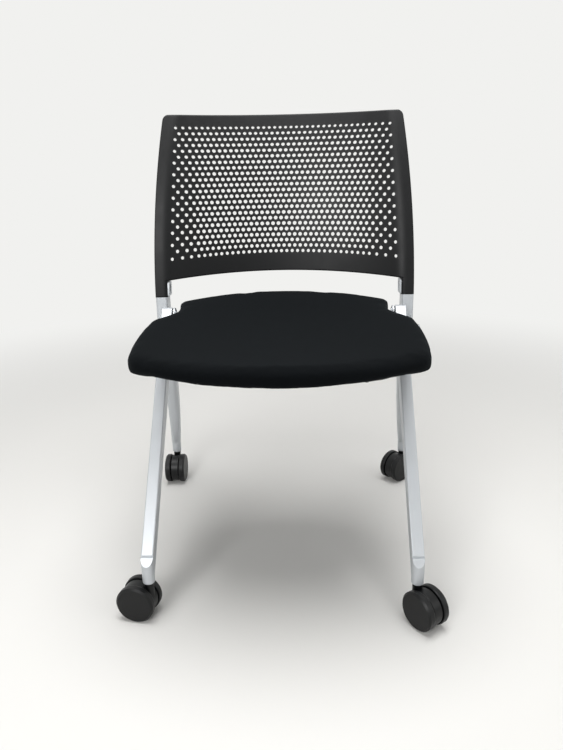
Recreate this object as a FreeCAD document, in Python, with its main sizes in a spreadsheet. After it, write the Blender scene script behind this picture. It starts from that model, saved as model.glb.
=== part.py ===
import FreeCAD, Part
import math
import os
import Sketcher
from FreeCAD import Placement, Rotation, Vector

# Nesting chair: a flip-up padded seat between two die-cast side frames, a perforated moulded
# backrest on the frames' uprights, and four twin-wheel casters.
# Frame: +Z up, +X to the sitter's left, the chair faces -Y. The origin is on the floor, on the
# centre plane, midway between the front and the rear caster stems. All sizes are in millimetres.

DOC = FreeCAD.newDocument("NestingChair")
SHEET = DOC.addObject("Spreadsheet::Sheet", "Sizes")

DRIVING_SIZES = [
    ("wheelbase", 502, "front caster stems to rear caster stems"),
    ("front_track", 432.6, "between the front caster stems"),
    ("rear_track", 531.4, "between the rear caster stems"),
    ("socket_height", 66, "lower end of each leg above the floor"),
    ("foot_diameter", 20, "round foot of each leg"),
    ("foot_edge", 2.5, "rounding of the foot's lower edge"),
    ("socket_bore", 14, "bore in the foot for the stem socket"),
    ("socket_depth", 33, "depth of that bore"),
    ("fit_gap", 0.02, "gap all round a piece that is fixed in its seat"),
    ("running_gap", 0.05, "radial clearance of a turning fit"),
    ("seat_gap", 0.3, "gap between pieces that rest on each other"),
    ("leg_width", 20, "front leg across the chair"),
    ("leg_depth", 24, "front leg square to its own length"),
    ("leg_edge", 2, "edge radius along the front leg's bright face"),
    ("leg_back_edge", 6, "edge radius along the front leg's underside"),
    ("leg_axis_at_foot", 93, "height at which the leg's axis crosses the stem's"),
    ("pivot_setback", 290, "seat pivot behind the front stems"),
    ("pivot_height", 445, "seat pivot above the floor"),
    ("pin_diameter", 8, "seat pivot pin"),
    ("tube_setback", 235, "cross tube behind the front stems"),
    ("tube_diameter", 28, "cross tube outside"),
    ("tube_wall", 2.5, "cross tube wall"),
    ("plug_length", 30, "threaded plug in each end of the cross tube"),
    ("bolt_diameter", 8, "frame bolts"),
    ("lug_width", 18, "rear frame's lug, across the chair"),
    ("lug_gap", 0.2, "lug to the front leg's outer face"),
    ("upright_width", 23, "upright across the chair"),
    ("upright_depth", 30, "upright front to back"),
    ("upright_front", 342, "upright's front face behind the front stems, at its shoulder"),
    ("shoulder_height", 466, "shoulder that carries the backrest's arms"),
    ("tang_width", 16, "tang inside the backrest's arm, across the chair"),
    ("tang_depth", 19, "tang front to back"),
    ("tang_length", 110, "tang above the shoulder"),
    ("arm_width", 24.4, "backrest's arm across the chair"),
    ("arm_depth", 30, "backrest's arm front to back"),
    ("screw_recess", 1.5, "depth that the arm screws' heads are let into the arm"),
    ("arm_length", 150, "backrest's arm from its lower end to its closed end"),
    ("back_half_width", 249.5, "backrest's half width at the arms' lower ends"),
    ("back_side_radius", 2583, "radius of the backrest's side edges in the front view"),
    ("back_top", 802, "top of the backrest"),
    ("back_lean", 7, "backrest's lean at its lower end, in degrees"),
    ("back_lean_radius", 1309, "radius of the backrest's side profile"),
    ("back_wall", 5, "wall of the moulded backrest"),
    ("back_lower_edge", 497, "lower edge of the panel beside the arms"),
    ("back_edge_rise", 8, "rise of the panel's lower edge at the centre"),
    ("back_corner", 10, "rounding of the top corners"),
    ("border_width", 13, "flat border along each side of the panel"),
    ("border_blend", 40, "radius that turns the border into the curved panel"),
    ("bowl_angle_low", 31, "turn of the panel at the border, lower edge, in degrees"),
    ("bowl_angle_high", 27, "turn of the panel at the border, top edge, in degrees"),
    ("hole_size", 11, "perforation across its corners"),
    ("hole_rows", 13, "rows of perforations"),
    ("hole_columns", 21, "perforations in a long row"),
    ("holes_low", 536, "lowest row of perforations"),
    ("holes_high", 779, "highest row of perforations"),
    ("holes_half_low", 213, "half width of the perforated field, lowest row"),
    ("holes_half_high", 202, "half width of the perforated field, highest row"),
    ("seat_front", -55, "front of the seat, measured from the front stems"),
    ("seat_rear", 384, "rear of the seat, measured from the front stems"),
    ("seat_half_width", 236, "half width of the seat at its widest"),
    ("seat_waist", 198.6, "half width of the seat beside the pivots"),
    ("seat_front_height", 437, "top of the seat at its front"),
    ("seat_rear_height", 467, "top of the seat at its rear"),
    ("seat_dish", 11.5, "depth of the seat's dish, front to back"),
    ("seat_crown", 5, "fall of the seat's top from the centre to the sides"),
    ("cushion_thickness", 29, "cushion at the centre"),
    ("cushion_top_edge", 11, "rounding of the cushion's top edge"),
    ("cushion_low_edge", 7, "rounding of the cushion's lower edge"),
    ("board_inset", 10, "seat board inside the cushion's outline"),
    ("board_thickness", 7, "seat board"),
    ("pan_inset", 15, "seat pan inside the cushion's outline"),
    ("pan_thickness", 5, "seat pan"),
    ("bracket_thickness", 3, "pressed steel of the seat's hinge brackets"),
    ("bracket_length", 74, "hinge bracket front to back"),
    ("bracket_flange", 40, "hinge bracket's flange across the chair"),
    ("bush_wall", 1.6, "wall of the pivot's nylon bush"),
    ("pad_diameter", 24, "rubber rest pads under the seat"),
    ("pad_spread", 240, "between the two rest pads"),
    ("wheel_radius", 32, "caster wheel"),
    ("wheel_width", 12, "caster wheel"),
    ("wheel_face_bevel", 3, "bevel round the wheel's outer face"),
    ("wheel_rim", 4.5, "thickness of the wheel's rim"),
    ("wheel_face", 2.6, "thickness of the wheel's closed face"),
    ("hub_diameter", 14, "wheel hub"),
    ("axle_diameter", 6, "caster axle"),
    ("hood_width", 17, "caster hood between its wheels"),
    ("hood_radius", 29.6, "caster hood"),
    ("hood_clearance", 9, "lower edge of the hood above the floor"),
    ("wheel_gap", 1.5, "hood to wheel"),
    ("caster_trail", 20, "stem axis to axle"),
    ("neck_diameter", 15.5, "caster neck"),
    ("stem_diameter", 10, "caster stem"),
    ("stem_in_hood", 20, "stem's length inside the hood"),
    ("swivel_front_right", 169.5, "trail of the caster at -X, front, in degrees from +X"),
    ("swivel_front_left", 304.9, "trail of the caster at +X, front"),
    ("swivel_rear_right", 270.6, "trail of the caster at -X, rear"),
    ("swivel_rear_left", 222.0, "trail of the caster at +X, rear"),
]


class Size:
    """A number and the sheet expression that gives it, so that a feature can be bound to both."""

    def __init__(self, value, text):
        self.value = value
        self.text = text

    def __add__(self, other):
        other = as_size(other)
        return Size(self.value + other.value, "({} + {})".format(self.text, other.text))

    def __sub__(self, other):
        other = as_size(other)
        return Size(self.value - other.value, "({} - {})".format(self.text, other.text))

    def __mul__(self, other):
        other = as_size(other)
        return Size(self.value * other.value, "({} * {})".format(self.text, other.text))

    def __truediv__(self, other):
        other = as_size(other)
        return Size(self.value / other.value, "({} / {})".format(self.text, other.text))

    def __neg__(self):
        return self * -1

    def root(self):
        return Size(math.sqrt(self.value), "sqrt({})".format(self.text))

    __radd__ = __add__
    __rmul__ = __mul__

    def __rsub__(self, other):
        return as_size(other) - self


def as_size(number):
    return number if isinstance(number, Size) else Size(float(number), "({:.6f})".format(number))


def fill_sheet():
    for row, (alias, value, note) in enumerate(DRIVING_SIZES, start=1):
        SHEET.set("A{}".format(row), note)
        SHEET.set("B{}".format(row), str(value))
        SHEET.setAlias("B{}".format(row), alias)
    DOC.recompute()


def size(alias):
    return Size(float(SHEET.get(alias)), "Sizes.{}".format(alias))


def number(alias):
    return float(SHEET.get(alias))


# Sketches, features and bodies

def new_body(label):
    body = DOC.addObject("PartDesign::Body", label)
    body.Label = label
    return body


def new_sketch(body, role, name, offset=0.0):
    """A sketch on one of the body's own origin planes, moved along its normal."""
    sketch = body.newObject("Sketcher::SketchObject", name)
    plane = [item for item in body.Origin.OriginFeatures if item.Role == role][0]
    sketch.AttachmentSupport = [(plane, "")]
    sketch.MapMode = "FlatFace"
    offset = as_size(offset)
    sketch.AttachmentOffset = Placement(Vector(0, 0, offset.value), Rotation())
    sketch.setExpression("AttachmentOffset.Base.z", offset.text)
    return sketch


def hold(sketch, kind, geometry, place, amount):
    """Ties one coordinate of a point to its size."""
    amount = as_size(amount)
    if abs(amount.value) < 1e-9:
        axis = -2 if kind == "DistanceX" else -1
        sketch.addConstraint(Sketcher.Constraint("PointOnObject", geometry, place, axis))
        return
    index = sketch.addConstraint(Sketcher.Constraint(kind, -1, 1, geometry, place, amount.value))
    sketch.setExpression("Constraints[{}]".format(index), amount.text)


def outline(sketch, points, arcs=None):
    """A closed outline. arcs gives the centre of each edge that is an arc, by its first point."""
    arcs = arcs or {}
    places = [Vector(as_size(x).value, as_size(y).value, 0) for x, y in points]
    count = len(points)
    ends = []
    for index in range(count):
        start = places[index]
        stop = places[(index + 1) % count]
        if index in arcs:
            centre = Vector(as_size(arcs[index][0]).value, as_size(arcs[index][1]).value, 0)
            first = math.atan2(start.y - centre.y, start.x - centre.x)
            last = math.atan2(stop.y - centre.y, stop.x - centre.x)
            turn = (last - first) % (2 * math.pi)
            circle = Part.Circle(centre, Vector(0, 0, 1), centre.distanceToPoint(start))
            if turn <= math.pi * 1.001:
                sketch.addGeometry(Part.ArcOfCircle(circle, first, first + turn))
                ends.append((1, 2))
            else:
                sketch.addGeometry(Part.ArcOfCircle(circle, last, last + 2 * math.pi - turn))
                ends.append((2, 1))
        else:
            sketch.addGeometry(Part.LineSegment(start, stop))
            ends.append((1, 2))
    for index in range(count):
        after = (index + 1) % count
        sketch.addConstraint(
            Sketcher.Constraint("Coincident", index, ends[index][1], after, ends[after][0]))
    for index, (x, y) in enumerate(points):
        hold(sketch, "DistanceX", index, ends[index][0], x)
        hold(sketch, "DistanceY", index, ends[index][0], y)
    for index, (x, y) in arcs.items():
        chord = places[(index + 1) % count] - places[index]
        if abs(chord.y) > abs(chord.x):
            hold(sketch, "DistanceX", index, 3, x)
        else:
            hold(sketch, "DistanceY", index, 3, y)


def disc(sketch, x, y, diameter):
    diameter = as_size(diameter)
    centre = Vector(as_size(x).value, as_size(y).value, 0)
    index = sketch.addGeometry(Part.Circle(centre, Vector(0, 0, 1), diameter.value / 2))
    row = sketch.addConstraint(Sketcher.Constraint("Diameter", index, diameter.value))
    sketch.setExpression("Constraints[{}]".format(row), diameter.text)
    hold(sketch, "DistanceX", index, 3, x)
    hold(sketch, "DistanceY", index, 3, y)


def rounded_box(sketch, x, y, wide, deep, radius):
    """A rectangle about (x, y) with arcs at its corners."""
    left, right = x - wide / 2, x + wide / 2
    near, far = y - deep / 2, y + deep / 2
    points = [(left + radius, near), (right - radius, near), (right, near + radius),
              (right, far - radius), (right - radius, far), (left + radius, far),
              (left, far - radius), (left, near + radius)]
    arcs = {1: (right - radius, near + radius), 3: (right - radius, far - radius),
            5: (left + radius, far - radius), 7: (left + radius, near + radius)}
    outline(sketch, points, arcs)


def feature(body, kind, name, profile, length, midplane=False, reverse=False):
    """A Pad or Pocket of a sketch."""
    item = body.newObject("PartDesign::" + kind, name)
    item.Profile = profile
    length = as_size(length)
    item.Length = length.value
    item.setExpression("Length", length.text)
    item.Midplane = midplane
    item.Reversed = reverse
    profile.Visibility = False
    return item


def cut(body, name, profile, length, midplane=False, reverse=False):
    """A Pocket that has to take material away."""
    DOC.recompute()
    before = body.Shape.Volume
    item = feature(body, "Pocket", name, profile, length, midplane, reverse)
    DOC.recompute()
    if body.Shape.Volume > before - 0.5:
        raise RuntimeError("{} cuts nothing from {}".format(name, body.Label))
    return item


def round_edges(body, name, radius, wanted):
    """A Fillet on the edges of the body's tip that wanted() accepts."""
    DOC.recompute()
    base = body.Tip
    names = ["Edge{}".format(index) for index, edge in enumerate(base.Shape.Edges, start=1)
             if wanted(edge)]
    item = body.newObject("PartDesign::Fillet", name)
    item.Base = (base, names)
    radius = as_size(radius)
    item.Radius = radius.value
    item.setExpression("Radius", radius.text)
    DOC.recompute()
    return item


def place(body, x=0, y=0, z=0, turn=0.0):
    """Puts a body in the chair, turned about +Z by a number of degrees."""
    body.Placement = Placement(Vector(as_size(x).value, as_size(y).value, as_size(z).value),
                               Rotation(Vector(0, 0, 1), as_size(turn).value))
    for axis, amount in (("x", x), ("y", y), ("z", z)):
        body.setExpression("Placement.Base.{}".format(axis), as_size(amount).text)


def group(label, master, placements):
    """Identical pieces as separate solids of one node."""
    shapes = []
    for placement in placements:
        copy = master.copy()
        copy.Placement = placement.multiply(copy.Placement)
        shapes.append(copy)
    item = DOC.addObject("Part::Feature", label)
    item.Label = label
    item.Shape = Part.makeCompound(shapes)
    return item


def solid_node(label, shape):
    item = DOC.addObject("Part::Feature", label)
    item.Label = label
    item.Shape = shape
    return item


NODES = []


def keep(item):
    NODES.append(item)
    return item


# The two side frames

def front_leg(label, side):
    """A sloping bar of flat section from the round foot up to its round head at the seat's pivot."""
    body = new_body(label)
    half = size("leg_depth") / 2
    slope = (size("pivot_height") - size("leg_axis_at_foot")) / size("pivot_setback")
    stretch = (slope * slope + 1).root()
    lift = half * stretch
    bright = size("leg_axis_at_foot") + lift
    head = (size("pivot_setback"), size("pivot_height"))
    head_front = (head[0] - half * slope / stretch, head[1] + half / stretch)
    head_rear = (head[0] + half * slope / stretch, head[1] - half / stretch)
    bar = new_sketch(body, "YZ_Plane", "Bar" + label)
    start = size("foot_diameter") / 10
    outline(bar, [(start, bright + start * slope), (start, size("leg_axis_at_foot") - lift + start * slope),
                  head_rear, head_front], {2: head})
    feature(body, "Pad", "BarPad" + label, bar, size("leg_width"), midplane=True)

    def height_on_bar(edge):
        heights = [(vertex.Z - number("leg_axis_at_foot") - vertex.Y * slope.value) / stretch.value
                   for vertex in edge.Vertexes]
        return min(heights), max(heights)

    def bright_edge(edge):
        round_head = isinstance(edge.Curve, Part.Circle)
        return round_head or (height_on_bar(edge)[0] > half.value - 0.01 and edge.Length > 100)

    def under_edge(edge):
        return height_on_bar(edge)[1] < 0.01 - half.value and edge.Length > 100

    round_edges(body, "Edges" + label, size("leg_edge"),
                lambda edge: bright_edge(edge) or under_edge(edge))
    foot = new_sketch(body, "XY_Plane", "Foot" + label, size("socket_height"))
    disc(foot, 0, 0, size("foot_diameter"))
    feature(body, "Pad", "FootPad" + label, foot, bright - size("leg_edge") / 2 - size("socket_height"))
    tip = new_sketch(body, "YZ_Plane", "Tip" + label)
    far = size("foot_diameter")
    outline(tip, [(-far, bright - far * slope), (start, bright + start * slope), (start, bright + far),
                  (-far, bright + far)])
    cut(body, "TipCut" + label, tip, size("leg_width") * 2, midplane=True)
    round_edges(body, "FootEdge" + label, size("foot_edge"),
                lambda edge: abs(edge.CenterOfMass.z - number("socket_height")) < 0.01)
    stem_bore(body, label, 0, 0)
    pin = new_sketch(body, "YZ_Plane", "PinBore" + label)
    disc(pin, head[0], head[1], size("pin_diameter") + 2 * size("fit_gap"))
    cut(body, "PinBoreCut" + label, pin, size("leg_width") * 2, midplane=True)
    bolts = new_sketch(body, "YZ_Plane", "BoltBores" + label)
    for setback in [size("tube_setback")] + lug_setbacks():
        disc(bolts, setback, leg_axis_height(setback), size("bolt_diameter") + 2 * size("fit_gap"))
    cut(body, "BoltBoresCut" + label, bolts, size("leg_width") * 2, midplane=True)
    place(body, side * size("front_track") / 2, -size("wheelbase") / 2)
    return keep(body)


def leg_axis_height(setback):
    """Height of the front leg's axis at a distance behind the front stems."""
    slope = (size("pivot_height") - size("leg_axis_at_foot")) / size("pivot_setback")
    return size("leg_axis_at_foot") + setback * slope


def lug_setbacks():
    """The two lug bolts, between the cross tube and the leg's head."""
    reach = size("pivot_setback") - size("tube_setback")
    return [size("tube_setback") + reach * 0.27, size("tube_setback") + reach * 0.6]


def stem_bore(body, label, x, y):
    bore = new_sketch(body, "XY_Plane", "StemBore" + label, size("socket_height"))
    disc(bore, x, y, size("socket_bore") + 2 * size("fit_gap"))
    cut(body, "StemBoreCut" + label, bore, size("socket_depth"), reverse=True)


def rear_frame(label, side):
    """Rear leg, knee, upright and tang in one casting, with a lug to the front leg."""
    body = new_body(label)
    stem = size("rear_track") / 2
    front = -size("wheelbase") / 2
    upright_x = size("front_track") / 2 + size("leg_width") / 2 + size("upright_width") / 2
    upright_y = front + size("upright_front") + size("upright_depth") / 2
    inward = stem - upright_x
    knee_height = size("shoulder_height") - 40
    foot_top = size("socket_height") + 24
    rise = knee_height - foot_top
    knee_y = upright_y - 1.5
    run = size("wheelbase") / 2 - knee_y
    stations = [
        (0.0, 0.0, 0.0, size("foot_diameter") - 0.5, size("foot_diameter") + 0.5, 8),
        (0.19, 0.24, 0.17, size("upright_width") - 0.5, size("upright_depth") - 4, 8),
        (0.5, 0.58, 0.5, size("upright_width") + 2, size("upright_depth") + 1, 8),
        (0.76, 0.82, 0.77, size("upright_width") + 1, size("upright_depth") + 3, 6),
        (1.0, 1.0, 1.0, size("upright_width"), size("upright_depth") + 2, 4),
    ]
    sketches = []
    for index, (up, across, along, wide, deep, radius) in enumerate(stations):
        sketch = new_sketch(body, "XY_Plane", "Leg{}{}".format(index, label), foot_top + rise * up)
        rounded_box(sketch, side * (stem - inward * across), size("wheelbase") / 2 - run * along,
                    wide, deep, as_size(radius))
        sketches.append(sketch)
    loft(body, "LegLoft" + label, sketches)
    knee = sketches[-1]
    shoulder = new_sketch(body, "XY_Plane", "Shoulder" + label, size("shoulder_height"))
    rounded_box(shoulder, side * upright_x, upright_y, size("upright_width"), size("upright_depth"),
                as_size(4))
    top_knee = new_sketch(body, "XY_Plane", "Knee" + label, knee_height)
    rounded_box(top_knee, side * upright_x, knee_y, size("upright_width"), size("upright_depth") + 2,
                as_size(4))
    loft(body, "UprightLoft" + label, [top_knee, shoulder])
    tang_low = new_sketch(body, "XY_Plane", "TangLow" + label, size("shoulder_height"))
    rounded_box(tang_low, side * tang_x(0.0), tang_y(0.0), size("tang_width"), size("tang_depth"), as_size(3))
    tang_high = new_sketch(body, "XY_Plane", "TangHigh" + label,
                           size("shoulder_height") + size("tang_length"))
    rounded_box(tang_high, side * tang_x(1.0), tang_y(1.0), size("tang_width"), size("tang_depth"), as_size(3))
    loft(body, "TangLoft" + label, [tang_low, tang_high])
    foot = new_sketch(body, "XY_Plane", "Foot" + label, size("socket_height"))
    disc(foot, side * stem, size("wheelbase") / 2, size("foot_diameter"))
    feature(body, "Pad", "FootPad" + label, foot, size("socket_depth") + 6)
    round_edges(body, "FootEdge" + label, size("foot_edge"),
                lambda edge: abs(edge.CenterOfMass.z - number("socket_height")) < 0.01)
    stem_bore(body, label, side * stem, size("wheelbase") / 2)

    # The lug reaches forward from the knee, beside the front leg's bar and out of sight
    setbacks = lug_setbacks()
    first = (front + setbacks[0], leg_axis_height(setbacks[0]))
    second = (front + setbacks[1], leg_axis_height(setbacks[1]))
    margin = size("bolt_diameter") + 2
    points = [(first[0] - margin, first[1] - margin), (upright_y, first[1] - margin * 1.7),
              (upright_y, second[1] - margin), (second[0] + margin * 0.4, second[1] + margin * 0.5),
              (second[0] - margin, second[1] + margin * 0.5), (first[0] - margin, first[1] + margin * 0.6)]
    lug_face = size("front_track") / 2 + size("leg_width") / 2 + size("lug_gap")
    lug = new_sketch(body, "YZ_Plane", "Lug" + label, side * lug_face)
    outline(lug, points)
    feature(body, "Pad", "LugPad" + label, lug, size("lug_width"), reverse=side < 0)
    bolts = new_sketch(body, "YZ_Plane", "LugBores" + label, side * lug_face)
    for setback in setbacks:
        disc(bolts, front + setback, leg_axis_height(setback), size("bolt_diameter") + 2 * size("fit_gap"))
    cut(body, "LugBoresCut" + label, bolts, size("lug_width") * 2, reverse=side > 0)
    screws = new_sketch(body, "XZ_Plane", "ScrewBores" + label, -upright_y)
    for height in arm_screw_heights():
        disc(screws, side * arm_screw_x(height), height, arm_screw_diameter() + 2 * size("fit_gap"))
    cut(body, "ScrewBoresCut" + label, screws, size("upright_depth") * 3)
    return keep(body)


def loft(body, name, sketches):
    item = body.newObject("PartDesign::AdditiveLoft", name)
    item.Profile = sketches[0]
    item.Sections = sketches[1:]
    item.Ruled = len(sketches) == 2
    for sketch in sketches:
        sketch.Visibility = False
    return item


# The backrest's side profile and front outline, shared by the arms, the tangs and the panel

def profile_lean(height):
    """Lean of the backrest's side profile at a height, as an angle from the vertical."""
    climb = (height - number("shoulder_height")) / number("back_lean_radius")
    return math.asin(math.sin(math.radians(number("back_lean"))) + climb)


def profile_y(height):
    """Front face of the backrest's side border at a height."""
    start = math.radians(number("back_lean"))
    back = number("back_lean_radius") * (math.cos(start) - math.cos(profile_lean(height)))
    return number("upright_front") - number("wheelbase") / 2 + back


def half_width(height):
    """Half width of the backrest at a height."""
    climb = height - number("shoulder_height")
    radius = number("back_side_radius")
    return number("back_half_width") - radius + math.sqrt(radius ** 2 - climb ** 2)


def tang_x(share):
    """Centre of the tang across the chair, in the middle of the backrest's arm."""
    height = number("shoulder_height") + share * number("tang_length")
    return as_size(half_width(height) - number("arm_width") / 2)


def tang_y(share):
    height = number("shoulder_height") + share * number("tang_length")
    return as_size(profile_y(height) + number("arm_depth") / 2)


def arm_screw_heights():
    return [size("shoulder_height") + 28, size("shoulder_height") + 78]


def arm_screw_x(height):
    return as_size(half_width(height.value) - number("arm_width") / 2)


def arm_screw_diameter():
    return size("bolt_diameter") * 0.625


def arm_screw_head():
    return arm_screw_diameter() * 1.8


def plan_section(height):
    """The backrest's closed plan outline at a height: border, blend, bowl, blend and border."""
    low = number("back_lower_edge")
    share = (height - low) / (number("back_top") - low)
    turn = math.radians(number("bowl_angle_low") * (1 - share) + number("bowl_angle_high") * share)
    outer = half_width(height)
    front = profile_y(height)
    wall = number("back_wall")
    blend = number("border_blend")
    flat_end = outer - number("border_width")
    edges = []
    for offset in (0.0, wall):
        near = front + offset
        radius = blend - offset
        blend_x = flat_end - blend * math.sin(turn) + offset * math.sin(turn)
        blend_y = near + radius * (1 - math.cos(turn))
        bowl = (flat_end - blend * math.sin(turn)) / math.sin(turn) + offset
        depth = blend_y + bowl * (1 - math.cos(turn))
        half_turn = turn / 2
        mid_x = flat_end - radius * math.sin(half_turn)
        mid_y = near + radius * (1 - math.cos(half_turn))
        edges.append(([Vector(-outer, near, height), Vector(-flat_end, near, height)],
                      [Vector(-flat_end, near, height), Vector(-mid_x, mid_y, height),
                       Vector(-blend_x, blend_y, height)],
                      [Vector(-blend_x, blend_y, height), Vector(0, depth, height),
                       Vector(blend_x, blend_y, height)],
                      [Vector(blend_x, blend_y, height), Vector(mid_x, mid_y, height),
                       Vector(flat_end, near, height)],
                      [Vector(flat_end, near, height), Vector(outer, near, height)]))
    border, blend_in, bowl_arc, blend_out, far_border = edges[0]
    wire = [Part.LineSegment(*border).toShape(), Part.Arc(*blend_in).toShape(),
            Part.Arc(*bowl_arc).toShape(), Part.Arc(*blend_out).toShape(),
            Part.LineSegment(*far_border).toShape()]
    border, blend_in, bowl_arc, blend_out, far_border = edges[1]
    wire.append(Part.LineSegment(edges[0][4][1], far_border[1]).toShape())
    wire.append(Part.LineSegment(far_border[1], far_border[0]).toShape())
    wire.append(Part.Arc(*reversed(blend_out)).toShape())
    wire.append(Part.Arc(*reversed(bowl_arc)).toShape())
    wire.append(Part.Arc(*reversed(blend_in)).toShape())
    wire.append(Part.LineSegment(border[1], border[0]).toShape())
    wire.append(Part.LineSegment(border[0], edges[0][0][0]).toShape())
    return Part.Wire(wire)


def box_section(x, y, height, wide, deep):
    corners = [Vector(x - wide / 2, y - deep / 2, height), Vector(x + wide / 2, y - deep / 2, height),
               Vector(x + wide / 2, y + deep / 2, height), Vector(x - wide / 2, y + deep / 2, height)]
    return Part.makePolygon(corners + corners[:1])


def arm_section(side, height):
    """The arm's plan outline, set a little behind the panel's face and inside its edge."""
    inset = 0.2
    front = 2.0
    x = side * (half_width(height) - number("arm_width") / 2)
    y = profile_y(height) + (number("arm_depth") + front) / 2
    return box_section(x, y, height, number("arm_width") - 2 * inset, number("arm_depth") - front)


def mould_outline():
    """The backrest from the front: arched lower edge between the arms, and rounded top corners."""
    foot = number("shoulder_height")
    low = number("back_lower_edge")
    top = number("back_top")
    corner = number("back_corner")
    edge = half_width(top)
    slant = corner * (1 - math.sqrt(0.5))
    wide = number("back_half_width") + 5
    inner = half_width(foot) - number("arm_width")
    turn = 4
    path = []
    for side in (1, -1):
        points = [Vector(side * (inner - turn), 0, low), Vector(side * (inner - turn * 0.2929), 0, low - turn * 0.2929),
                  Vector(side * inner, 0, low - turn), Vector(side * inner, 0, foot - 1),
                  Vector(side * wide, 0, foot - 1), Vector(side * wide, 0, top - corner),
                  Vector(side * edge, 0, top - corner),
                  Vector(side * (edge - slant), 0, top - slant), Vector(side * (edge - corner), 0, top)]
        path.append(Part.Arc(points[0], points[1], points[2]).toShape())
        for first, second in ((2, 3), (3, 4), (4, 5), (5, 6)):
            path.append(Part.LineSegment(points[first], points[second]).toShape())
        path.append(Part.Arc(points[6], points[7], points[8]).toShape())
    path.append(Part.LineSegment(Vector(edge - corner, 0, top), Vector(corner - edge, 0, top)).toShape())
    path.append(Part.Arc(Vector(turn - inner, 0, low), Vector(0, 0, low + number("back_edge_rise")),
                         Vector(inner - turn, 0, low)).toShape())
    return Part.Face(Part.Wire(Part.__sortEdges__(path)))


def backrest():
    """A thin moulded bowl with a flat border, two hollow arms below it and a perforated field."""
    foot = number("shoulder_height")
    top = number("back_top")
    heights = [foot + (top - foot) * step / 5 for step in range(6)]
    panel = Part.makeLoft([plan_section(height) for height in heights], True, False)
    panel = panel.common(mould_outline().extrude(Vector(0, number("wheelbase"), 0)))
    arm_high = foot + number("arm_length")
    tang_high = foot + number("tang_length") + number("seat_gap")
    bore_wide = number("tang_width") + 2 * number("running_gap")
    bore_deep = number("tang_depth") + 2 * number("running_gap")
    arms = []
    cores = []
    for side in (-1, 1):
        arm_heights = [foot, (foot + arm_high) / 2, arm_high]
        arms.append(Part.makeLoft([arm_section(side, height) for height in arm_heights], True, False))
        share = (tang_high - foot) / number("tang_length")
        ends = []
        for along, height in ((0.0, foot), (share, tang_high)):
            ends.append(box_section(side * tang_x(along).value, tang_y(along).value, height,
                                    bore_wide, bore_deep))
        cores.append(Part.makeLoft(ends, True, True))
        for height in arm_screw_heights():
            x = side * arm_screw_x(height).value
            y = profile_y(height.value) + number("arm_depth") / 2
            cores.append(Part.makeCylinder(arm_screw_diameter().value / 2 + number("fit_gap"),
                                           number("arm_depth"), Vector(x, y, height.value), Vector(0, 1, 0)))
            seat = profile_y(height.value) + number("arm_depth") - number("screw_recess")
            cores.append(Part.makeCylinder(arm_screw_head().value / 2 + number("seat_gap"),
                                           number("arm_depth"), Vector(x, seat, height.value), Vector(0, 1, 0)))
    shell = panel.fuse(arms)
    shell = shell.cut(cores)
    shell = shell.cut(perforations())
    return keep(solid_node("backrest", shell.Solids[0] if len(shell.Solids) == 1 else shell))


def perforations():
    """Six-sided punches in staggered rows, spaced more widely towards the sides."""
    rows = int(number("hole_rows"))
    columns = int(number("hole_columns"))
    radius = number("hole_size") / 2
    depth = 200
    punches = []
    for row in range(rows):
        share = row / (rows - 1)
        height = number("holes_low") + share * (number("holes_high") - number("holes_low"))
        half = number("holes_half_low") + share * (number("holes_half_high") - number("holes_half_low"))
        count = columns - row % 2
        for column in range(count):
            step = (column + 0.5 * (row % 2)) * 2 / (columns - 1) - 1
            x = half * (0.86 * step + 0.14 * step ** 3)
            arch = 4.0 * (1 - share) * (1 - step ** 2)
            corners = []
            for turn in range(6):
                angle = math.pi / 3 * turn + math.pi / 6
                corners.append(Vector(x + radius * math.cos(angle), number("upright_front") - 300,
                                      height + arch + radius * math.sin(angle)))
            face = Part.Face(Part.makePolygon(corners + corners[:1]))
            punches.append(face.extrude(Vector(0, depth + 200, 0)))
    return punches


# Cross tube, bolts and pivots

def leg_inner_face():
    return size("front_track") / 2 - size("leg_width") / 2


def leg_outer_face():
    return size("front_track") / 2 + size("leg_width") / 2


def chair_y(setback):
    """The chair's Y of a distance behind the front stems."""
    return setback - size("wheelbase") / 2


def cross_tube():
    body = new_body("cross_tube")
    ring = new_sketch(body, "YZ_Plane", "TubeRing")
    centre = (chair_y(size("tube_setback")), leg_axis_height(size("tube_setback")))
    disc(ring, centre[0], centre[1], size("tube_diameter"))
    disc(ring, centre[0], centre[1], size("tube_diameter") - 2 * size("tube_wall"))
    feature(body, "Pad", "TubePad", ring, leg_inner_face() * 2, midplane=True)
    keep(body)


def bolt(shank, length, head_wide, head_high, recess_share=0.5):
    """A cap screw pointing down its own -Z, its head's seat at the origin and a hex recess on top."""
    shank_solid = Part.makeCylinder(shank / 2, length, Vector(0, 0, -length))
    head = Part.makeCylinder(head_wide / 2, head_high)
    rim = [edge for edge in head.Edges if abs(edge.CenterOfMass.z - head_high) < 1e-6]
    head = head.makeChamfer(head_high * 0.22, rim)
    reach = head_wide * 0.29
    corners = [Vector(reach * math.cos(math.pi / 3 * turn), reach * math.sin(math.pi / 3 * turn),
                      head_high * (1 - recess_share)) for turn in range(6)]
    recess = Part.Face(Part.makePolygon(corners + corners[:1])).extrude(Vector(0, 0, head_high))
    return shank_solid.fuse(head).removeSplitter().cut(recess)


def outward(side, x, y, z):
    """Turns a fastener's head to the chair's outer side."""
    return Placement(Vector(side * x, y, z), Rotation(Vector(0, 0, 1), Vector(side, 0, 0)))


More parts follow.
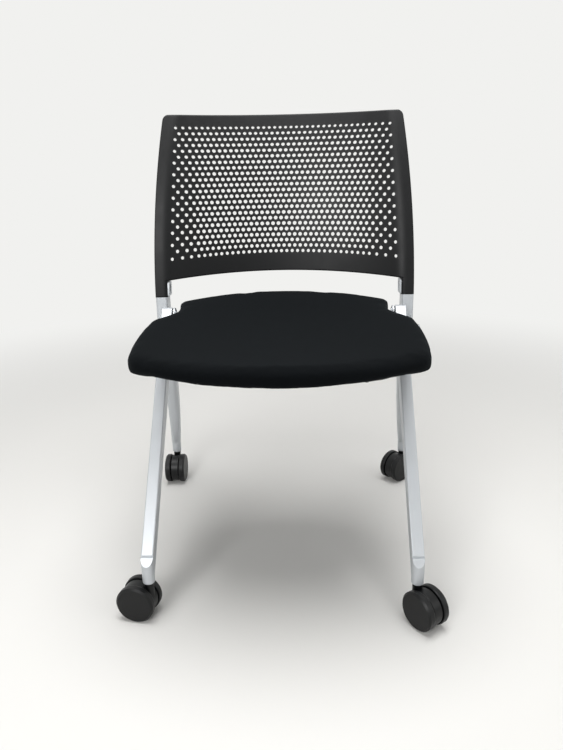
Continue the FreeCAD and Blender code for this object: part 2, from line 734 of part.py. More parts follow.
def frame_fasteners():
    fit = number("fit_gap")
    shank = number("bolt_diameter")
    tube_y = chair_y(size("tube_setback")).value
    tube_z = leg_axis_height(size("tube_setback")).value
    inner = leg_inner_face().value
    outer = leg_outer_face().value
    plug_radius = number("tube_diameter") / 2 - number("tube_wall") - fit
    plug = Part.makeCylinder(plug_radius, number("plug_length"), Vector(0, 0, -number("plug_length")))
    plug = plug.cut(Part.makeCylinder(shank / 2 + fit, number("plug_length") - 4,
                                      Vector(0, 0, 4 - number("plug_length"))))
    keep(group("tube_plugs", plug, [outward(side, inner, tube_y, tube_z) for side in (-1, 1)]))
    tube_bolt = bolt(shank, number("leg_width") + number("plug_length") - 8, shank * 1.75, shank * 0.62)
    keep(group("tube_bolts", tube_bolt, [outward(side, outer, tube_y, tube_z) for side in (-1, 1)]))
    lug_face = outer + number("lug_gap") + number("lug_width")
    lug_bolt = bolt(shank, number("lug_width") + number("lug_gap") + number("leg_width") - 1,
                    shank * 1.6, shank * 0.6)
    places = [outward(side, lug_face, chair_y(setback).value, leg_axis_height(setback).value)
              for side in (-1, 1) for setback in lug_setbacks()]
    keep(group("lug_bolts", lug_bolt, places))

    # The pins are pressed into the legs' heads; a clip on each keeps the seat's bracket in place
    pivot_y = chair_y(size("pivot_setback")).value
    pivot_z = number("pivot_height")
    pin_end = number("seat_waist") + 0.6
    radius = number("pin_diameter") / 2
    groove = 0.5
    clip_wide = 1.0
    pin = Part.makeCylinder(radius, outer - 0.8 - pin_end, Vector(0, 0, pin_end))
    ring = Part.makeCylinder(radius + 1, clip_wide + 2 * fit, Vector(0, 0, pin_end + 0.5 - fit))
    ring = ring.cut(Part.makeCylinder(radius - groove, clip_wide * 3, Vector(0, 0, pin_end - 0.5)))
    pin = pin.cut(ring)
    keep(group("pivot_pins", pin, [outward(side, 0, pivot_y, pivot_z) for side in (-1, 1)]))
    clip = Part.makeCylinder(radius + 3, clip_wide, Vector(0, 0, pin_end + 0.5))
    clip = clip.cut(Part.makeCylinder(radius - groove + fit, clip_wide * 3, Vector(0, 0, pin_end - 0.5)))
    mouth = Part.makeBox(radius * 1.5, radius * 3, clip_wide * 3, Vector(-radius * 0.75, 0, pin_end - 0.5))
    keep(group("pivot_clips", clip.cut(mouth), [outward(side, 0, pivot_y, pivot_z) for side in (-1, 1)]))

    screw = bolt(arm_screw_diameter().value, number("arm_depth") * 0.5 - number("screw_recess"),
                 arm_screw_head().value, 3.2)
    places = []
    for side in (-1, 1):
        for height in arm_screw_heights():
            seat = profile_y(height.value) + number("arm_depth") - number("screw_recess")
            spot = Vector(side * arm_screw_x(height).value, seat + 0.02, height.value)
            places.append(Placement(spot, Rotation(Vector(0, 0, 1), Vector(0, 1, 0))))
    keep(group("back_screws", screw, places))


# Casters. Each is built with its stem's axis on Z and its trail along +X

CASTERS = [
    ("front_right", -1, "front_track", -1, "swivel_front_right"),
    ("front_left", 1, "front_track", -1, "swivel_front_left"),
    ("rear_right", -1, "rear_track", 1, "swivel_rear_right"),
    ("rear_left", 1, "rear_track", 1, "swivel_rear_left"),
]


def stem_places():
    return [(side * size(track) / 2, size("wheelbase") / 2 * end) for _, side, track, end, _ in CASTERS]


def stems_and_sockets():
    fit = number("fit_gap")
    foot = number("socket_height")
    top = foot + number("socket_depth") - 1
    low = foot - 0.4 - number("stem_in_hood")
    stem_radius = number("stem_diameter") / 2
    stem = Part.makeCylinder(stem_radius, top - 2 - low, Vector(0, 0, low))
    ends = [edge for edge in stem.Edges if isinstance(edge.Curve, Part.Circle)]
    stem = stem.makeChamfer(1, ends)
    socket = Part.makeCylinder(number("socket_bore") / 2, top - foot, Vector(0, 0, foot))
    socket = socket.cut(Part.makeCylinder(stem_radius + fit, top - foot - 1, Vector(0, 0, foot)))
    places = [Placement(Vector(x.value, y.value, 0), Rotation()) for x, y in stem_places()]
    keep(group("caster_sockets", socket, places))
    keep(group("caster_stems", stem, places))


def caster(name, side, track, end, swivel):
    """Hood, axle and two wheels of one caster."""
    stem_x = side * size(track) / 2
    stem_y = size("wheelbase") / 2 * end
    trail = size("caster_trail")
    axle_z = size("wheel_radius")
    turn = number(swivel)
    hood = new_body(name + "_hood")
    radius = size("hood_radius")
    drop = size("wheel_radius") - size("hood_clearance")
    reach = (radius * radius - drop * drop).root()
    shell = new_sketch(hood, "XZ_Plane", "Shell" + name)
    outline(shell, [(trail + reach, size("hood_clearance")), (trail, axle_z + radius),
                    (trail - reach, size("hood_clearance"))],
            {0: (trail, axle_z), 1: (trail, axle_z)})
    feature(hood, "Pad", "ShellPad" + name, shell, size("hood_width"), midplane=True)
    round_edges(hood, "ShellEdge" + name, as_size(1.5),
                lambda edge: isinstance(edge.Curve, Part.Circle) and edge.Length > 20)
    neck = new_sketch(hood, "XY_Plane", "Neck" + name, axle_z)
    disc(neck, 0, 0, size("neck_diameter"))
    feature(hood, "Pad", "NeckPad" + name, neck, size("socket_height") - 0.4 - axle_z)
    bore = new_sketch(hood, "XY_Plane", "Bore" + name, size("socket_height"))
    disc(bore, 0, 0, size("stem_diameter") + 2 * size("running_gap"))
    cut(hood, "BoreCut" + name, bore, size("stem_in_hood") + 0.8)
    across = new_sketch(hood, "XZ_Plane", "AxleBore" + name)
    disc(across, trail, axle_z, size("axle_diameter") + 2 * size("fit_gap"))
    cut(hood, "AxleBoreCut" + name, across, size("hood_width") * 2, midplane=True)
    place(hood, stem_x, stem_y, 0, turn)
    keep(hood)

    axle = new_body(name + "_axle")
    rod = new_sketch(axle, "XZ_Plane", "Rod" + name)
    disc(rod, trail, axle_z, size("axle_diameter"))
    half_axle = size("hood_width") / 2 + size("wheel_gap") + size("wheel_width") - size("wheel_face")
    feature(axle, "Pad", "RodPad" + name, rod, (half_axle - 0.4) * 2, midplane=True)
    place(axle, stem_x, stem_y, 0, turn)
    keep(axle)

    angle = math.radians(turn)
    axle_x = stem_x + trail * math.cos(angle)
    axle_y = stem_y + trail * math.sin(angle)
    for suffix, half_turn in (("wheel_a", 0.0), ("wheel_b", 180.0)):
        wheel = new_body("{}_{}".format(name, suffix))
        inner = size("hood_width") / 2 + size("wheel_gap")
        outer = inner + size("wheel_width")
        hub = size("hood_width") / 2 + 0.3
        web = outer - size("wheel_face")
        bevel = size("wheel_face_bevel")
        rim = size("wheel_radius")
        bore_radius = size("axle_diameter") / 2 + size("running_gap")
        section = new_sketch(wheel, "XY_Plane", "Section{}{}".format(name, suffix))
        outline(section, [(bore_radius, hub), (size("hub_diameter") / 2, hub), (size("hub_diameter") / 2, web),
                          (rim - size("wheel_rim"), web), (rim - size("wheel_rim"), inner),
                          (rim - 0.8, inner), (rim, inner + 1.5), (rim, outer - bevel), (rim - bevel, outer),
                          (as_size(0), outer), (as_size(0), web + 0.2), (bore_radius, web + 0.2)])
        spin = wheel.newObject("PartDesign::Revolution", "Spin{}{}".format(name, suffix))
        spin.Profile = section
        spin.ReferenceAxis = (section, ["V_Axis"])
        spin.Angle = 360
        section.Visibility = False
        place(wheel, axle_x, axle_y, axle_z, turn + half_turn)
        keep(wheel)


# The seat. Its layers share one axis: the centre of the dish's curve, far above the seat

def dish():
    """Setback and height of the dish's centre, and the radius of the seat's top."""
    run = size("seat_rear") - size("seat_front")
    rise = size("seat_rear_height") - size("seat_front_height")
    chord = (run * run + rise * rise).root()
    radius = chord * chord / (size("seat_dish") * 8) + size("seat_dish") / 2
    setback = (size("seat_front") + size("seat_rear")) / 2 - (radius - size("seat_dish")) * rise / chord
    height = (size("seat_front_height") + size("seat_rear_height")) / 2
    return setback, height + (radius - size("seat_dish")) * run / chord, radius


def layer_depths():
    """Depths of the layers below the seat's top, down to the hinge brackets' lower face."""
    cushion = size("cushion_thickness")
    board = cushion + size("seat_gap")
    pan = board + size("board_thickness") + 0.05
    flange = pan + size("pan_thickness") + 0.05
    return cushion, board, pan, flange


def seat_outline(sketch, inset):
    """The seat from above: bowed front, swollen sides, a waist between the legs and a bowed rear."""
    inset = as_size(inset)
    half = size("seat_half_width") - inset
    waist = size("seat_waist") - inset
    corner_x = half - 7
    corner_y = size("seat_front") + 77 + inset
    rear_x = waist + 4
    rear_y = size("seat_rear") - 50 - inset
    notch = size("pivot_setback") - 74 - inset * 0.5
    front = size("seat_front") + inset
    sag = corner_y - front
    front_radius = corner_x * corner_x / (sag * 2) + sag / 2
    rear = size("seat_rear") - inset
    rear_sag = rear - rear_y
    rear_radius = rear_x * rear_x / (rear_sag * 2) + rear_sag / 2
    side_low = (corner_x, corner_y)
    side_high = (half - 4, notch)
    side_radius = 675
    chord_x = side_high[0] - side_low[0]
    chord_y = side_high[1] - side_low[1]
    chord = (chord_x * chord_x + chord_y * chord_y).root()
    reach = (as_size(side_radius * side_radius) - chord * chord / 4).root()
    side_centre = ((side_low[0] + side_high[0]) / 2 - reach * chord_y / chord,
                   (side_low[1] + side_high[1]) / 2 + reach * chord_x / chord)
    right = [side_low, side_high, (waist, notch + 53 - inset * 0.4), (waist, size("pivot_setback") + 15),
             (rear_x, rear_y)]
    left = [(-x, y) for x, y in reversed(right)]
    points = [(x, chair_y(y)) for x, y in right + left]
    mirrored = (-side_centre[0], side_centre[1])
    arcs = {0: (side_centre[0], chair_y(side_centre[1])), 4: (as_size(0), chair_y(rear - rear_radius)),
            8: (mirrored[0], chair_y(mirrored[1])), 9: (as_size(0), chair_y(front + front_radius))}
    outline(sketch, points, arcs)
    return points


def trim_to_seat(body, label, inset):
    """Cuts away all that lies outside the seat's outline, then rounds its upright corners."""
    trim = new_sketch(body, "XY_Plane", "Trim" + label, 0)
    points = seat_outline(trim, inset)
    far = size("wheelbase") * 2
    first = trim.GeometryCount
    corners = [(-far, -far), (far, -far), (far, far), (-far, far)]
    for index in range(4):
        start, stop = corners[index], corners[(index + 1) % 4]
        trim.addGeometry(Part.LineSegment(Vector(start[0].value, start[1].value, 0),
                                          Vector(stop[0].value, stop[1].value, 0)))
    for index in range(4):
        after = first + (index + 1) % 4
        trim.addConstraint(Sketcher.Constraint("Coincident", first + index, 2, after, 1))
        hold(trim, "DistanceX", first + index, 1, corners[index][0])
        hold(trim, "DistanceY", first + index, 1, corners[index][1])
    cut(body, "TrimCut" + label, trim, size("pivot_height") * 4, midplane=True)
    radii = {0: 42, 1: 40, 2: 30, 3: 60, 4: 13}
    for corner, radius in radii.items():
        x, y = points[corner][0].value, points[corner][1].value

        def at_corner(edge):
            middle = edge.CenterOfMass
            upright = abs(edge.BoundBox.XLength) < 0.01 and abs(edge.BoundBox.YLength) < 0.01
            return upright and abs(abs(middle.x) - x) < 0.2 and abs(middle.y - y) < 0.2

        round_edges(body, "Corner{}{}".format(corner, label), as_size(radius), at_corner)


def curved_slab(body, label, upper, lower):
    """A slab between two depths below the seat's top, across the whole seat."""
    setback, height, radius = dish()
    start = size("seat_front") - 8
    stop = size("seat_rear") + 8
    centre = (chair_y(setback), height)

    def on_arc(depth, at):
        ring = radius + depth
        offset = at - setback
        return (chair_y(at), height - (ring * ring - offset * offset).root())

    slab = new_sketch(body, "YZ_Plane", "Slab" + label)
    outline(slab, [on_arc(lower, start), on_arc(lower, stop), on_arc(upper, stop), on_arc(upper, start)],
            {0: centre, 2: centre})
    feature(body, "Pad", "SlabPad" + label, slab, size("seat_half_width") * 2 + 20, midplane=True)


def seat_layers():
    cushion_low, board_top, pan_top, flange_top = layer_depths()
    setback, height, radius = dish()
    cushion = new_body("seat_cushion")
    crown = size("seat_crown")
    half = size("seat_half_width")
    crown_radius = half * half / (crown * 2) + crown / 2
    profile = new_sketch(cushion, "XZ_Plane", "CrownSection", -chair_y(setback))
    profile.AttachmentOffset = Placement(Vector(0, height.value, -chair_y(setback).value), Rotation())
    profile.setExpression("AttachmentOffset.Base.y", height.text)
    profile.setExpression("AttachmentOffset.Base.z", (-chair_y(setback)).text)
    edge_x = half + 6
    fall = crown_radius - (crown_radius * crown_radius - edge_x * edge_x).root()
    outline(profile, [(-edge_x, -radius - cushion_low), (edge_x, -radius - cushion_low),
                      (edge_x, -radius - fall), (-edge_x, -radius - fall)],
            {2: (as_size(0), -radius - crown_radius)})
    spin = cushion.newObject("PartDesign::Revolution", "CrownSpin")
    spin.Profile = profile
    spin.ReferenceAxis = (profile, ["H_Axis"])
    spin.Midplane = True
    spin.Angle = 24
    profile.Visibility = False
    trim_to_seat(cushion, "Cushion", 0)

    def rim_depths(edge):
        depths = []
        for share in (0.0, 0.5, 1.0):
            point = edge.valueAt(edge.FirstParameter + share * (edge.LastParameter - edge.FirstParameter))
            depths.append(math.hypot(point.y - chair_y(setback).value, point.z - height.value) - radius.value)
        return depths

    def top_rim(edge):
        return max(rim_depths(edge)) < crown.value + 1

    def low_rim(edge):
        return min(rim_depths(edge)) > cushion_low.value - 0.5

    round_edges(cushion, "TopRim", size("cushion_top_edge"), top_rim)
    round_edges(cushion, "LowRim", size("cushion_low_edge"), low_rim)
    keep(cushion)

    board = new_body("seat_board_core")
    curved_slab(board, "Board", board_top, board_top + size("board_thickness"))
    trim_to_seat(board, "Board", size("board_inset"))
    pan = new_body("seat_pan_core")
    curved_slab(pan, "Pan", pan_top, pan_top + size("pan_thickness"))
    trim_to_seat(pan, "Pan", size("pan_inset"))
    return board, pan


def on_seat(x, setback_at, depth):
    """A placement square to the seat's curve, at a depth below its top; +Z points up."""
    setback, height, radius = dish()
    angle = math.asin((setback_at - setback.value) / radius.value)
    hub = Placement(Vector(x, chair_y(setback).value, height.value), Rotation(Vector(1, 0, 0), math.degrees(angle)))
    return hub.multiply(Placement(Vector(0, 0, -radius.value - depth), Rotation()))


def pan_screw_spots():
    half = number("seat_half_width")
    front = number("seat_front")
    return [(x, y) for y in (front + 75, front + 235) for x in (-half * 0.66, 0, half * 0.66)] + [
        (-half * 0.42, number("seat_rear") - 42), (half * 0.42, number("seat_rear") - 42)]


def bracket_screw_spots():
    middle = number("pivot_setback")
    inner = bracket_outer_face() - number("bracket_flange") * 0.6
    half = number("bracket_length") / 2 - 10
    return [(side * inner, middle + step) for side in (-1, 1) for step in (-half, half)]


def bracket_outer_face():
    return number("seat_waist") + 2.6 + number("bracket_thickness")


def below(master):
    """Turns a fastener's head to the seat's underside."""
    copy = master.copy()
    copy.Placement = Placement(Vector(), Rotation(Vector(1, 0, 0), 180))
    return copy


def cut_node(label, base, tool_shape):
    """A body with its screw holes taken out of it."""
    tool = DOC.addObject("Part::Feature", label + "_holes")
    tool.Shape = tool_shape
    item = DOC.addObject("Part::Cut", label)
    item.Label = label
    item.Base = base
    item.Tool = tool
    DOC.recompute()
    return item


def seat_hardware(board, pan):
    fit = number("fit_gap")
    cushion_low, board_top, pan_top, flange_top = [depth.value for depth in layer_depths()]
    pan_low = pan_top + number("pan_thickness")
    flange_low = flange_top + number("bracket_thickness")
    grip = number("board_thickness") * 0.8
    shank = number("bolt_diameter") / 2
    short = below(bolt(shank, pan_low - pan_top + grip + 0.05, shank * 2.2, shank * 0.6))
    long = below(bolt(shank, flange_low - pan_top + grip + 0.05, shank * 2.2, shank * 0.6))
    pan_spots = [on_seat(x, y, pan_low + 0.02) for x, y in pan_screw_spots()]
    bracket_spots = [on_seat(x, y, flange_low + 0.02) for x, y in bracket_screw_spots()]
    keep(group("pan_screws", short, pan_spots))
    keep(group("bracket_screws", long, bracket_spots))
    drill = Part.makeCylinder(shank / 2 + fit, flange_low - pan_top + grip + 2.5, Vector(0, 0, -2))
    tools = []
    for spot in pan_spots + bracket_spots:
        copy = drill.copy()
        copy.Placement = spot
        tools.append(copy)
    drills = Part.makeCompound(tools)
    keep(cut_node("seat_board", board, drills))
    keep(cut_node("seat_pan", pan, drills))
    for name, side in (("hinge_bracket_right", -1), ("hinge_bracket_left", 1)):
        keep(cut_node(name, hinge_bracket(name, side), drills))

    # Nylon bushes turn on the pins; rubber pads under the pan rest on the cross tube
    outer = bracket_outer_face()
    inner = outer - number("bracket_thickness")
    pin_radius = number("pin_diameter") / 2
    bush = Part.makeCylinder(pin_radius + number("bush_wall"), number("bracket_thickness") + 0.5,
                             Vector(0, 0, inner - 0.5))
    bush = bush.fuse(Part.makeCylinder(pin_radius + 5, leg_inner_face().value - 0.3 - outer, Vector(0, 0, outer)))
    bush = bush.removeSplitter()
    bush = bush.cut(Part.makeCylinder(pin_radius + number("running_gap"), 40, Vector(0, 0, inner - 10)))
    pivot_y = chair_y(size("pivot_setback")).value
    keep(group("hinge_bushes", bush,
               [outward(side, 0, pivot_y, number("pivot_height")) for side in (-1, 1)]))
    setback, height, radius = [amount.value for amount in dish()]
    pads = []
    tube_top = leg_axis_height(size("tube_setback")).value + number("tube_diameter") / 2
    for side in (-1, 1):
        x = side * number("pad_spread") / 2
        y = chair_y(size("tube_setback")).value
        pad = Part.makeCylinder(number("pad_diameter") / 2, 40, Vector(x, y, tube_top + number("seat_gap")))
        under = Part.makeCylinder(radius + pan_low + 0.05, 80, Vector(x - 40, chair_y(as_size(setback)).value, height),
                                  Vector(1, 0, 0))
        pads.append(pad.cut(under))
    keep(solid_node("rest_pads", Part.makeCompound(pads)))


def hinge_bracket(name, side):
    """Pressed steel: a flange under the pan and an ear up to the pivot, with a round end."""
    body = new_body(name + "_core")
    flange_top = layer_depths()[3]
    setback, height, radius = dish()
    outer = as_size(bracket_outer_face())
    thick = size("bracket_thickness")
    middle = size("pivot_setback")
    half = size("bracket_length") / 2

    def on_arc(depth, at):
        ring = radius + depth
        offset = at - setback
        return (chair_y(at), height - (ring * ring - offset * offset).root())

    centre = (chair_y(setback), height)
    flange = new_sketch(body, "YZ_Plane", "Flange" + name, side * (outer - size("bracket_flange")))
    outline(flange, [on_arc(flange_top + thick, middle - half), on_arc(flange_top + thick, middle + half),
                     on_arc(flange_top, middle + half), on_arc(flange_top, middle - half)],
            {0: centre, 2: centre})
    feature(body, "Pad", "FlangePad" + name, flange, size("bracket_flange"), reverse=side < 0)
    head = size("pin_diameter") / 2 + 7
    pivot = (chair_y(middle), size("pivot_height"))
    ear = new_sketch(body, "YZ_Plane", "Ear" + name, side * (outer - thick))
    outline(ear, [on_arc(flange_top + thick * 0.6, middle - half * 0.9),
                  on_arc(flange_top + thick * 0.6, middle + half * 0.9),
                  (pivot[0] + head, pivot[1]), (pivot[0] - head, pivot[1])], {2: pivot})
    feature(body, "Pad", "EarPad" + name, ear, thick, reverse=side < 0)
    bore = new_sketch(body, "YZ_Plane", "EarBore" + name, side * (outer - thick))
    disc(bore, pivot[0], pivot[1], size("pin_diameter") + 2 * size("bush_wall") + 2 * size("fit_gap"))
    cut(body, "EarBoreCut" + name, bore, thick * 3, reverse=side > 0)
    return body


def write_parts():
    os.makedirs("parts", exist_ok=True)
    DOC.recompute()
    for item in DOC.Objects:
        if "Invalid" in item.State or "Error" in item.State:
            raise RuntimeError("{} did not build: {}".format(item.Label, item.State))
    for node in NODES:
        shape = node.Shape
        if shape.isNull() or not shape.isValid() or not shape.Solids:
            raise RuntimeError("{} has no sound shape".format(node.Label))
    for node in NODES:
        node.Shape.exportStep("parts/{}.step".format(node.Label))
        print(node.Label, len(node.Shape.Solids), round(node.Shape.Volume, 1))


fill_sheet()
for leg_label, leg_side in (("front_leg_right", -1), ("front_leg_left", 1)):
    front_leg(leg_label, leg_side)
for frame_label, frame_side in (("rear_frame_right", -1), ("rear_frame_left", 1)):
    rear_frame(frame_label, frame_side)
cross_tube()
frame_fasteners()
stems_and_sockets()
for caster_row in CASTERS:
    caster(*caster_row)
seat_board_core, seat_pan_core = seat_layers()
seat_hardware(seat_board_core, seat_pan_core)
backrest()
write_parts()
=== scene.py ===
"""Nesting chair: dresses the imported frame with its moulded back, upholstered seat, cast legs and casters."""
import logging
import math
from dataclasses import dataclass, field
from enum import Enum
from typing import Any, Mapping, Sequence

import bmesh
import bpy
from mathutils import Matrix, Vector


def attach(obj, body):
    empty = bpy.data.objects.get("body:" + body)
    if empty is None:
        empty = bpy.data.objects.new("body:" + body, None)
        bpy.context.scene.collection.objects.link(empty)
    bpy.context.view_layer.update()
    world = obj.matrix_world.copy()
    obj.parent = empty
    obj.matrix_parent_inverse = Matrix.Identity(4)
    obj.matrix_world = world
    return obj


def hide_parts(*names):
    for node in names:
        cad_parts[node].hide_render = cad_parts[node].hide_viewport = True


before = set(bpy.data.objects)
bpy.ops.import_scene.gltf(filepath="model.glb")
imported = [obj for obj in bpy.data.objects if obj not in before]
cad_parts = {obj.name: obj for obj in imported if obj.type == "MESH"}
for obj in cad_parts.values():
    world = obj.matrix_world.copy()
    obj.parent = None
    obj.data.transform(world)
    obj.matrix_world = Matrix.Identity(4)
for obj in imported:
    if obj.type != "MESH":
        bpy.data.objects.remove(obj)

LOG = logging.getLogger("nesting_chair")
MM = 0.001
SIDES = (-1, 1)


class Body(Enum):
    """Moving bodies of the chair that carry pieces of the scene."""

    FRAME = "frame"
    SEAT = "seat"


# ---------------------------------------------------------------- node helpers

def linear(code: str) -> tuple[float, float, float, float]:
    """Turns an sRGB hex colour into a linear one.

    Args:
        code: Six hex digits, with or without a leading hash.

    Returns:
        Linear red, green, blue and an alpha of one.
    """
    digits = code.lstrip("#")
    channels = [int(digits[start:start + 2], 16) / 255 for start in (0, 2, 4)]
    values = [c / 12.92 if c <= 0.04045 else ((c + 0.055) / 1.055) ** 2.4 for c in channels]
    return values[0], values[1], values[2], 1.0


def add_node(tree: bpy.types.NodeTree, kind: str, settings: Mapping[str, Any] | None = None,
             inputs: Mapping[Any, Any] | None = None) -> bpy.types.Node:
    """Adds a node, sets its properties, and fills or links its inputs.

    Args:
        tree: The tree that the node goes in.
        kind: The node's type name.
        settings: Properties of the node by name.
        inputs: Values or output sockets, by the input's name or number.

    Returns:
        The new node.
    """
    node = tree.nodes.new(kind)
    for name, value in (settings or {}).items():
        setattr(node, name, value)
    for name, value in (inputs or {}).items():
        socket = node.inputs[name]
        if isinstance(value, bpy.types.NodeSocket):
            tree.links.new(value, socket)
        else:
            socket.default_value = value
    return node


def arithmetic(tree: bpy.types.NodeTree, operation: str, *values: Any) -> bpy.types.NodeSocket:
    """Adds a sum, product or other operation on numbers or sockets and returns its result's socket."""
    return add_node(tree, "ShaderNodeMath", {"operation": operation}, dict(enumerate(values))).outputs[0]


def new_tree(name: str) -> tuple[bpy.types.Material, bpy.types.NodeTree, bpy.types.Node]:
    """Starts a material with nothing but its output.

    Args:
        name: The material's name.

    Returns:
        The material, its node tree and its output node.
    """
    material = bpy.data.materials.new(name)
    material.use_nodes = True
    tree = material.node_tree
    tree.nodes.clear()
    return material, tree, add_node(tree, "ShaderNodeOutputMaterial")


# ---------------------------------------------------------------- finishes

@dataclass(frozen=True)
class Finish:
    """A surface made of a colour, a gloss and a fine relief.

    tone_span is how far the colour and the roughness drift, grain_mm the size of the relief's grain.
    """

    name: str
    colour: str
    roughness: float
    metallic: float = 0.0
    ior: float = 1.5
    grain_mm: float = 0.5
    relief_mm: float = 0.01
    tone_span: float = 0.08
    drift_mm: float = 60.0
    coat: float = 0.0
    sheen: float = 0.0

    def shader(self, tree: bpy.types.NodeTree, colour: Any, roughness: Any, normal: Any) -> bpy.types.Node:
        """Adds the surface shader with this finish's plain values."""
        return add_node(tree, "ShaderNodeBsdfPrincipled", None, {
            "Base Color": colour, "Roughness": roughness, "Normal": normal, "Metallic": self.metallic,
            "IOR": self.ior, "Coat Weight": self.coat, "Coat Roughness": 0.25,
            "Sheen Weight": self.sheen, "Sheen Roughness": 0.5})

    def drift(self, tree: bpy.types.NodeTree, place: Any, size_mm: float, detail: float = 3.0) -> Any:
        """Adds slow noise over the surface and returns its socket."""
        noise = add_node(tree, "ShaderNodeTexNoise", None,
                         {"Vector": place, "Scale": 1 / (size_mm * MM), "Detail": detail, "Roughness": 0.55})
        return noise.outputs["Fac"]

    def spread(self, tree: bpy.types.NodeTree, factor: Any, low: float, high: float) -> Any:
        """Maps a socket from its middle range to low and high."""
        ramp = add_node(tree, "ShaderNodeMapRange", None,
                        {"Value": factor, "From Min": 0.3, "From Max": 0.7, "To Min": low, "To Max": high})
        return ramp.outputs["Result"]

    def tinted(self, tree: bpy.types.NodeTree, factor: Any, span: float) -> Any:
        """Lightens and darkens the finish's colour by a factor."""
        base = linear(self.colour)
        dark = tuple(c * (1 - span) for c in base[:3]) + (1.0,)
        light = tuple(min(1.0, c * (1 + span)) for c in base[:3]) + (1.0,)
        mix = add_node(tree, "ShaderNodeMix", {"data_type": "RGBA"}, {0: factor, 6: dark, 7: light})
        return mix.outputs[2]

    def relief(self, tree: bpy.types.NodeTree, height: Any, depth_mm: float, under: Any = None) -> Any:
        """Turns a height into a normal, over another normal if one is given."""
        inputs = {"Height": height, "Distance": depth_mm * MM, "Strength": 1.0}
        if under is not None:
            inputs["Normal"] = under
        return add_node(tree, "ShaderNodeBump", None, inputs).outputs["Normal"]

    def surface(self, tree: bpy.types.NodeTree, place: Any) -> bpy.types.Node:
        """Adds the shader with its colour drift, gloss drift and fine grain.

        Args:
            tree: The material's tree.
            place: The socket of the object's coordinates.

        Returns:
            The surface shader.
        """
        slow = self.drift(tree, place, self.drift_mm)
        grain = self.drift(tree, place, self.grain_mm, 2.0)
        roughness = self.spread(tree, slow, self.roughness - 0.04, self.roughness + 0.04)
        normal = self.relief(tree, grain, self.relief_mm)
        return self.shader(tree, self.tinted(tree, slow, self.tone_span), roughness, normal)

    def build(self) -> bpy.types.Material:
        """Makes the material.

        Returns:
            A material whose surface follows the object's own coordinates.
        """
        material, tree, output = new_tree(self.name)
        place = add_node(tree, "ShaderNodeTexCoord").outputs["Object"]
        tree.links.new(self.surface(tree, place).outputs[0], output.inputs["Surface"])
        return material


@dataclass(frozen=True)
class PowderCoat(Finish):
    """Silver powder coat on die-cast metal: fine metallic flake under a faint orange peel."""

    peel_mm: float = 2.2
    peel_relief_mm: float = 0.02
    flake_mm: float = 0.35

    def surface(self, tree: bpy.types.NodeTree, place: Any) -> bpy.types.Node:
        """Adds the coat, with flake in its colour and peel in its relief."""
        slow = self.drift(tree, place, self.drift_mm)
        flake = self.drift(tree, place, self.flake_mm, 1.0)
        peel = self.drift(tree, place, self.peel_mm, 1.0)
        roughness = self.spread(tree, slow, self.roughness - 0.03, self.roughness + 0.05)
        normal = self.relief(tree, peel, self.peel_relief_mm)
        normal = self.relief(tree, flake, self.relief_mm, normal)
        tone = arithmetic(tree, "MULTIPLY", arithmetic(tree, "ADD", slow, flake), 0.5)
        return self.shader(tree, self.tinted(tree, tone, self.tone_span), roughness, normal)


@dataclass(frozen=True)
class WovenCloth(Finish):
    """Black crepe upholstery cloth: a plain weave of spun yarn with a short, soft nap."""

    thread_mm: float = 1.1
    wobble_scale: float = 160.0
    nap: str = "#8C98A0"

    def surface(self, tree: bpy.types.NodeTree, place: Any) -> bpy.types.Node:
        """Adds the cloth from two crossed sets of yarn, each over and under the other."""
        wobble = add_node(tree, "ShaderNodeTexNoise", None,
                          {"Vector": place, "Scale": self.wobble_scale, "Detail": 2.0})
        shift = add_node(tree, "ShaderNodeVectorMath", {"operation": "SCALE"},
                         {0: wobble.outputs["Color"], 3: self.thread_mm * MM * 0.9})
        moved = add_node(tree, "ShaderNodeVectorMath", {"operation": "ADD"}, {0: place, 1: shift.outputs[0]})
        split = add_node(tree, "ShaderNodeSeparateXYZ", None, {0: moved.outputs[0]})
        waves = [arithmetic(tree, "SINE", arithmetic(tree, "MULTIPLY", split.outputs[axis],
                                                     math.pi / (self.thread_mm * MM)))
                 for axis in (0, 1)]
        cross = arithmetic(tree, "MULTIPLY", *waves)
        weave = add_node(tree, "ShaderNodeMapRange", None,
                         {"Value": cross, "From Min": -1.0, "From Max": 1.0})
        slow = self.drift(tree, place, self.drift_mm)
        fuzz = self.drift(tree, place, self.grain_mm, 4.0)
        mixed = add_node(tree, "ShaderNodeMix", {"data_type": "FLOAT"},
                         {0: 0.55, 2: weave.outputs["Result"], 3: fuzz}).outputs[0]
        tone = arithmetic(tree, "MULTIPLY", arithmetic(tree, "ADD", mixed, slow), 0.5)
        normal = self.relief(tree, mixed, self.relief_mm)
        surface = self.shader(tree, self.tinted(tree, tone, self.tone_span), self.roughness, normal)
        surface.inputs["Sheen Tint"].default_value = linear(self.nap)
        return surface


@dataclass(frozen=True)
class BrushedSteel(Finish):
    """Zinc-plated turned steel: fine streaks and a dull, slightly blue gloss."""

    streak_stretch: tuple[float, float, float] = (9.0, 1.0, 1.0)

    def surface(self, tree: bpy.types.NodeTree, place: Any) -> bpy.types.Node:
        """Adds the steel with fine streaks across X."""
        stretched = add_node(tree, "ShaderNodeMapping", None,
                             {"Vector": place, "Scale": self.streak_stretch})
        streak = self.drift(tree, stretched.outputs[0], self.grain_mm, 3.0)
        slow = self.drift(tree, place, self.drift_mm)
        roughness = self.spread(tree, streak, self.roughness - 0.08, self.roughness + 0.08)
        normal = self.relief(tree, streak, self.relief_mm)
        return self.shader(tree, self.tinted(tree, slow, self.tone_span), roughness, normal)


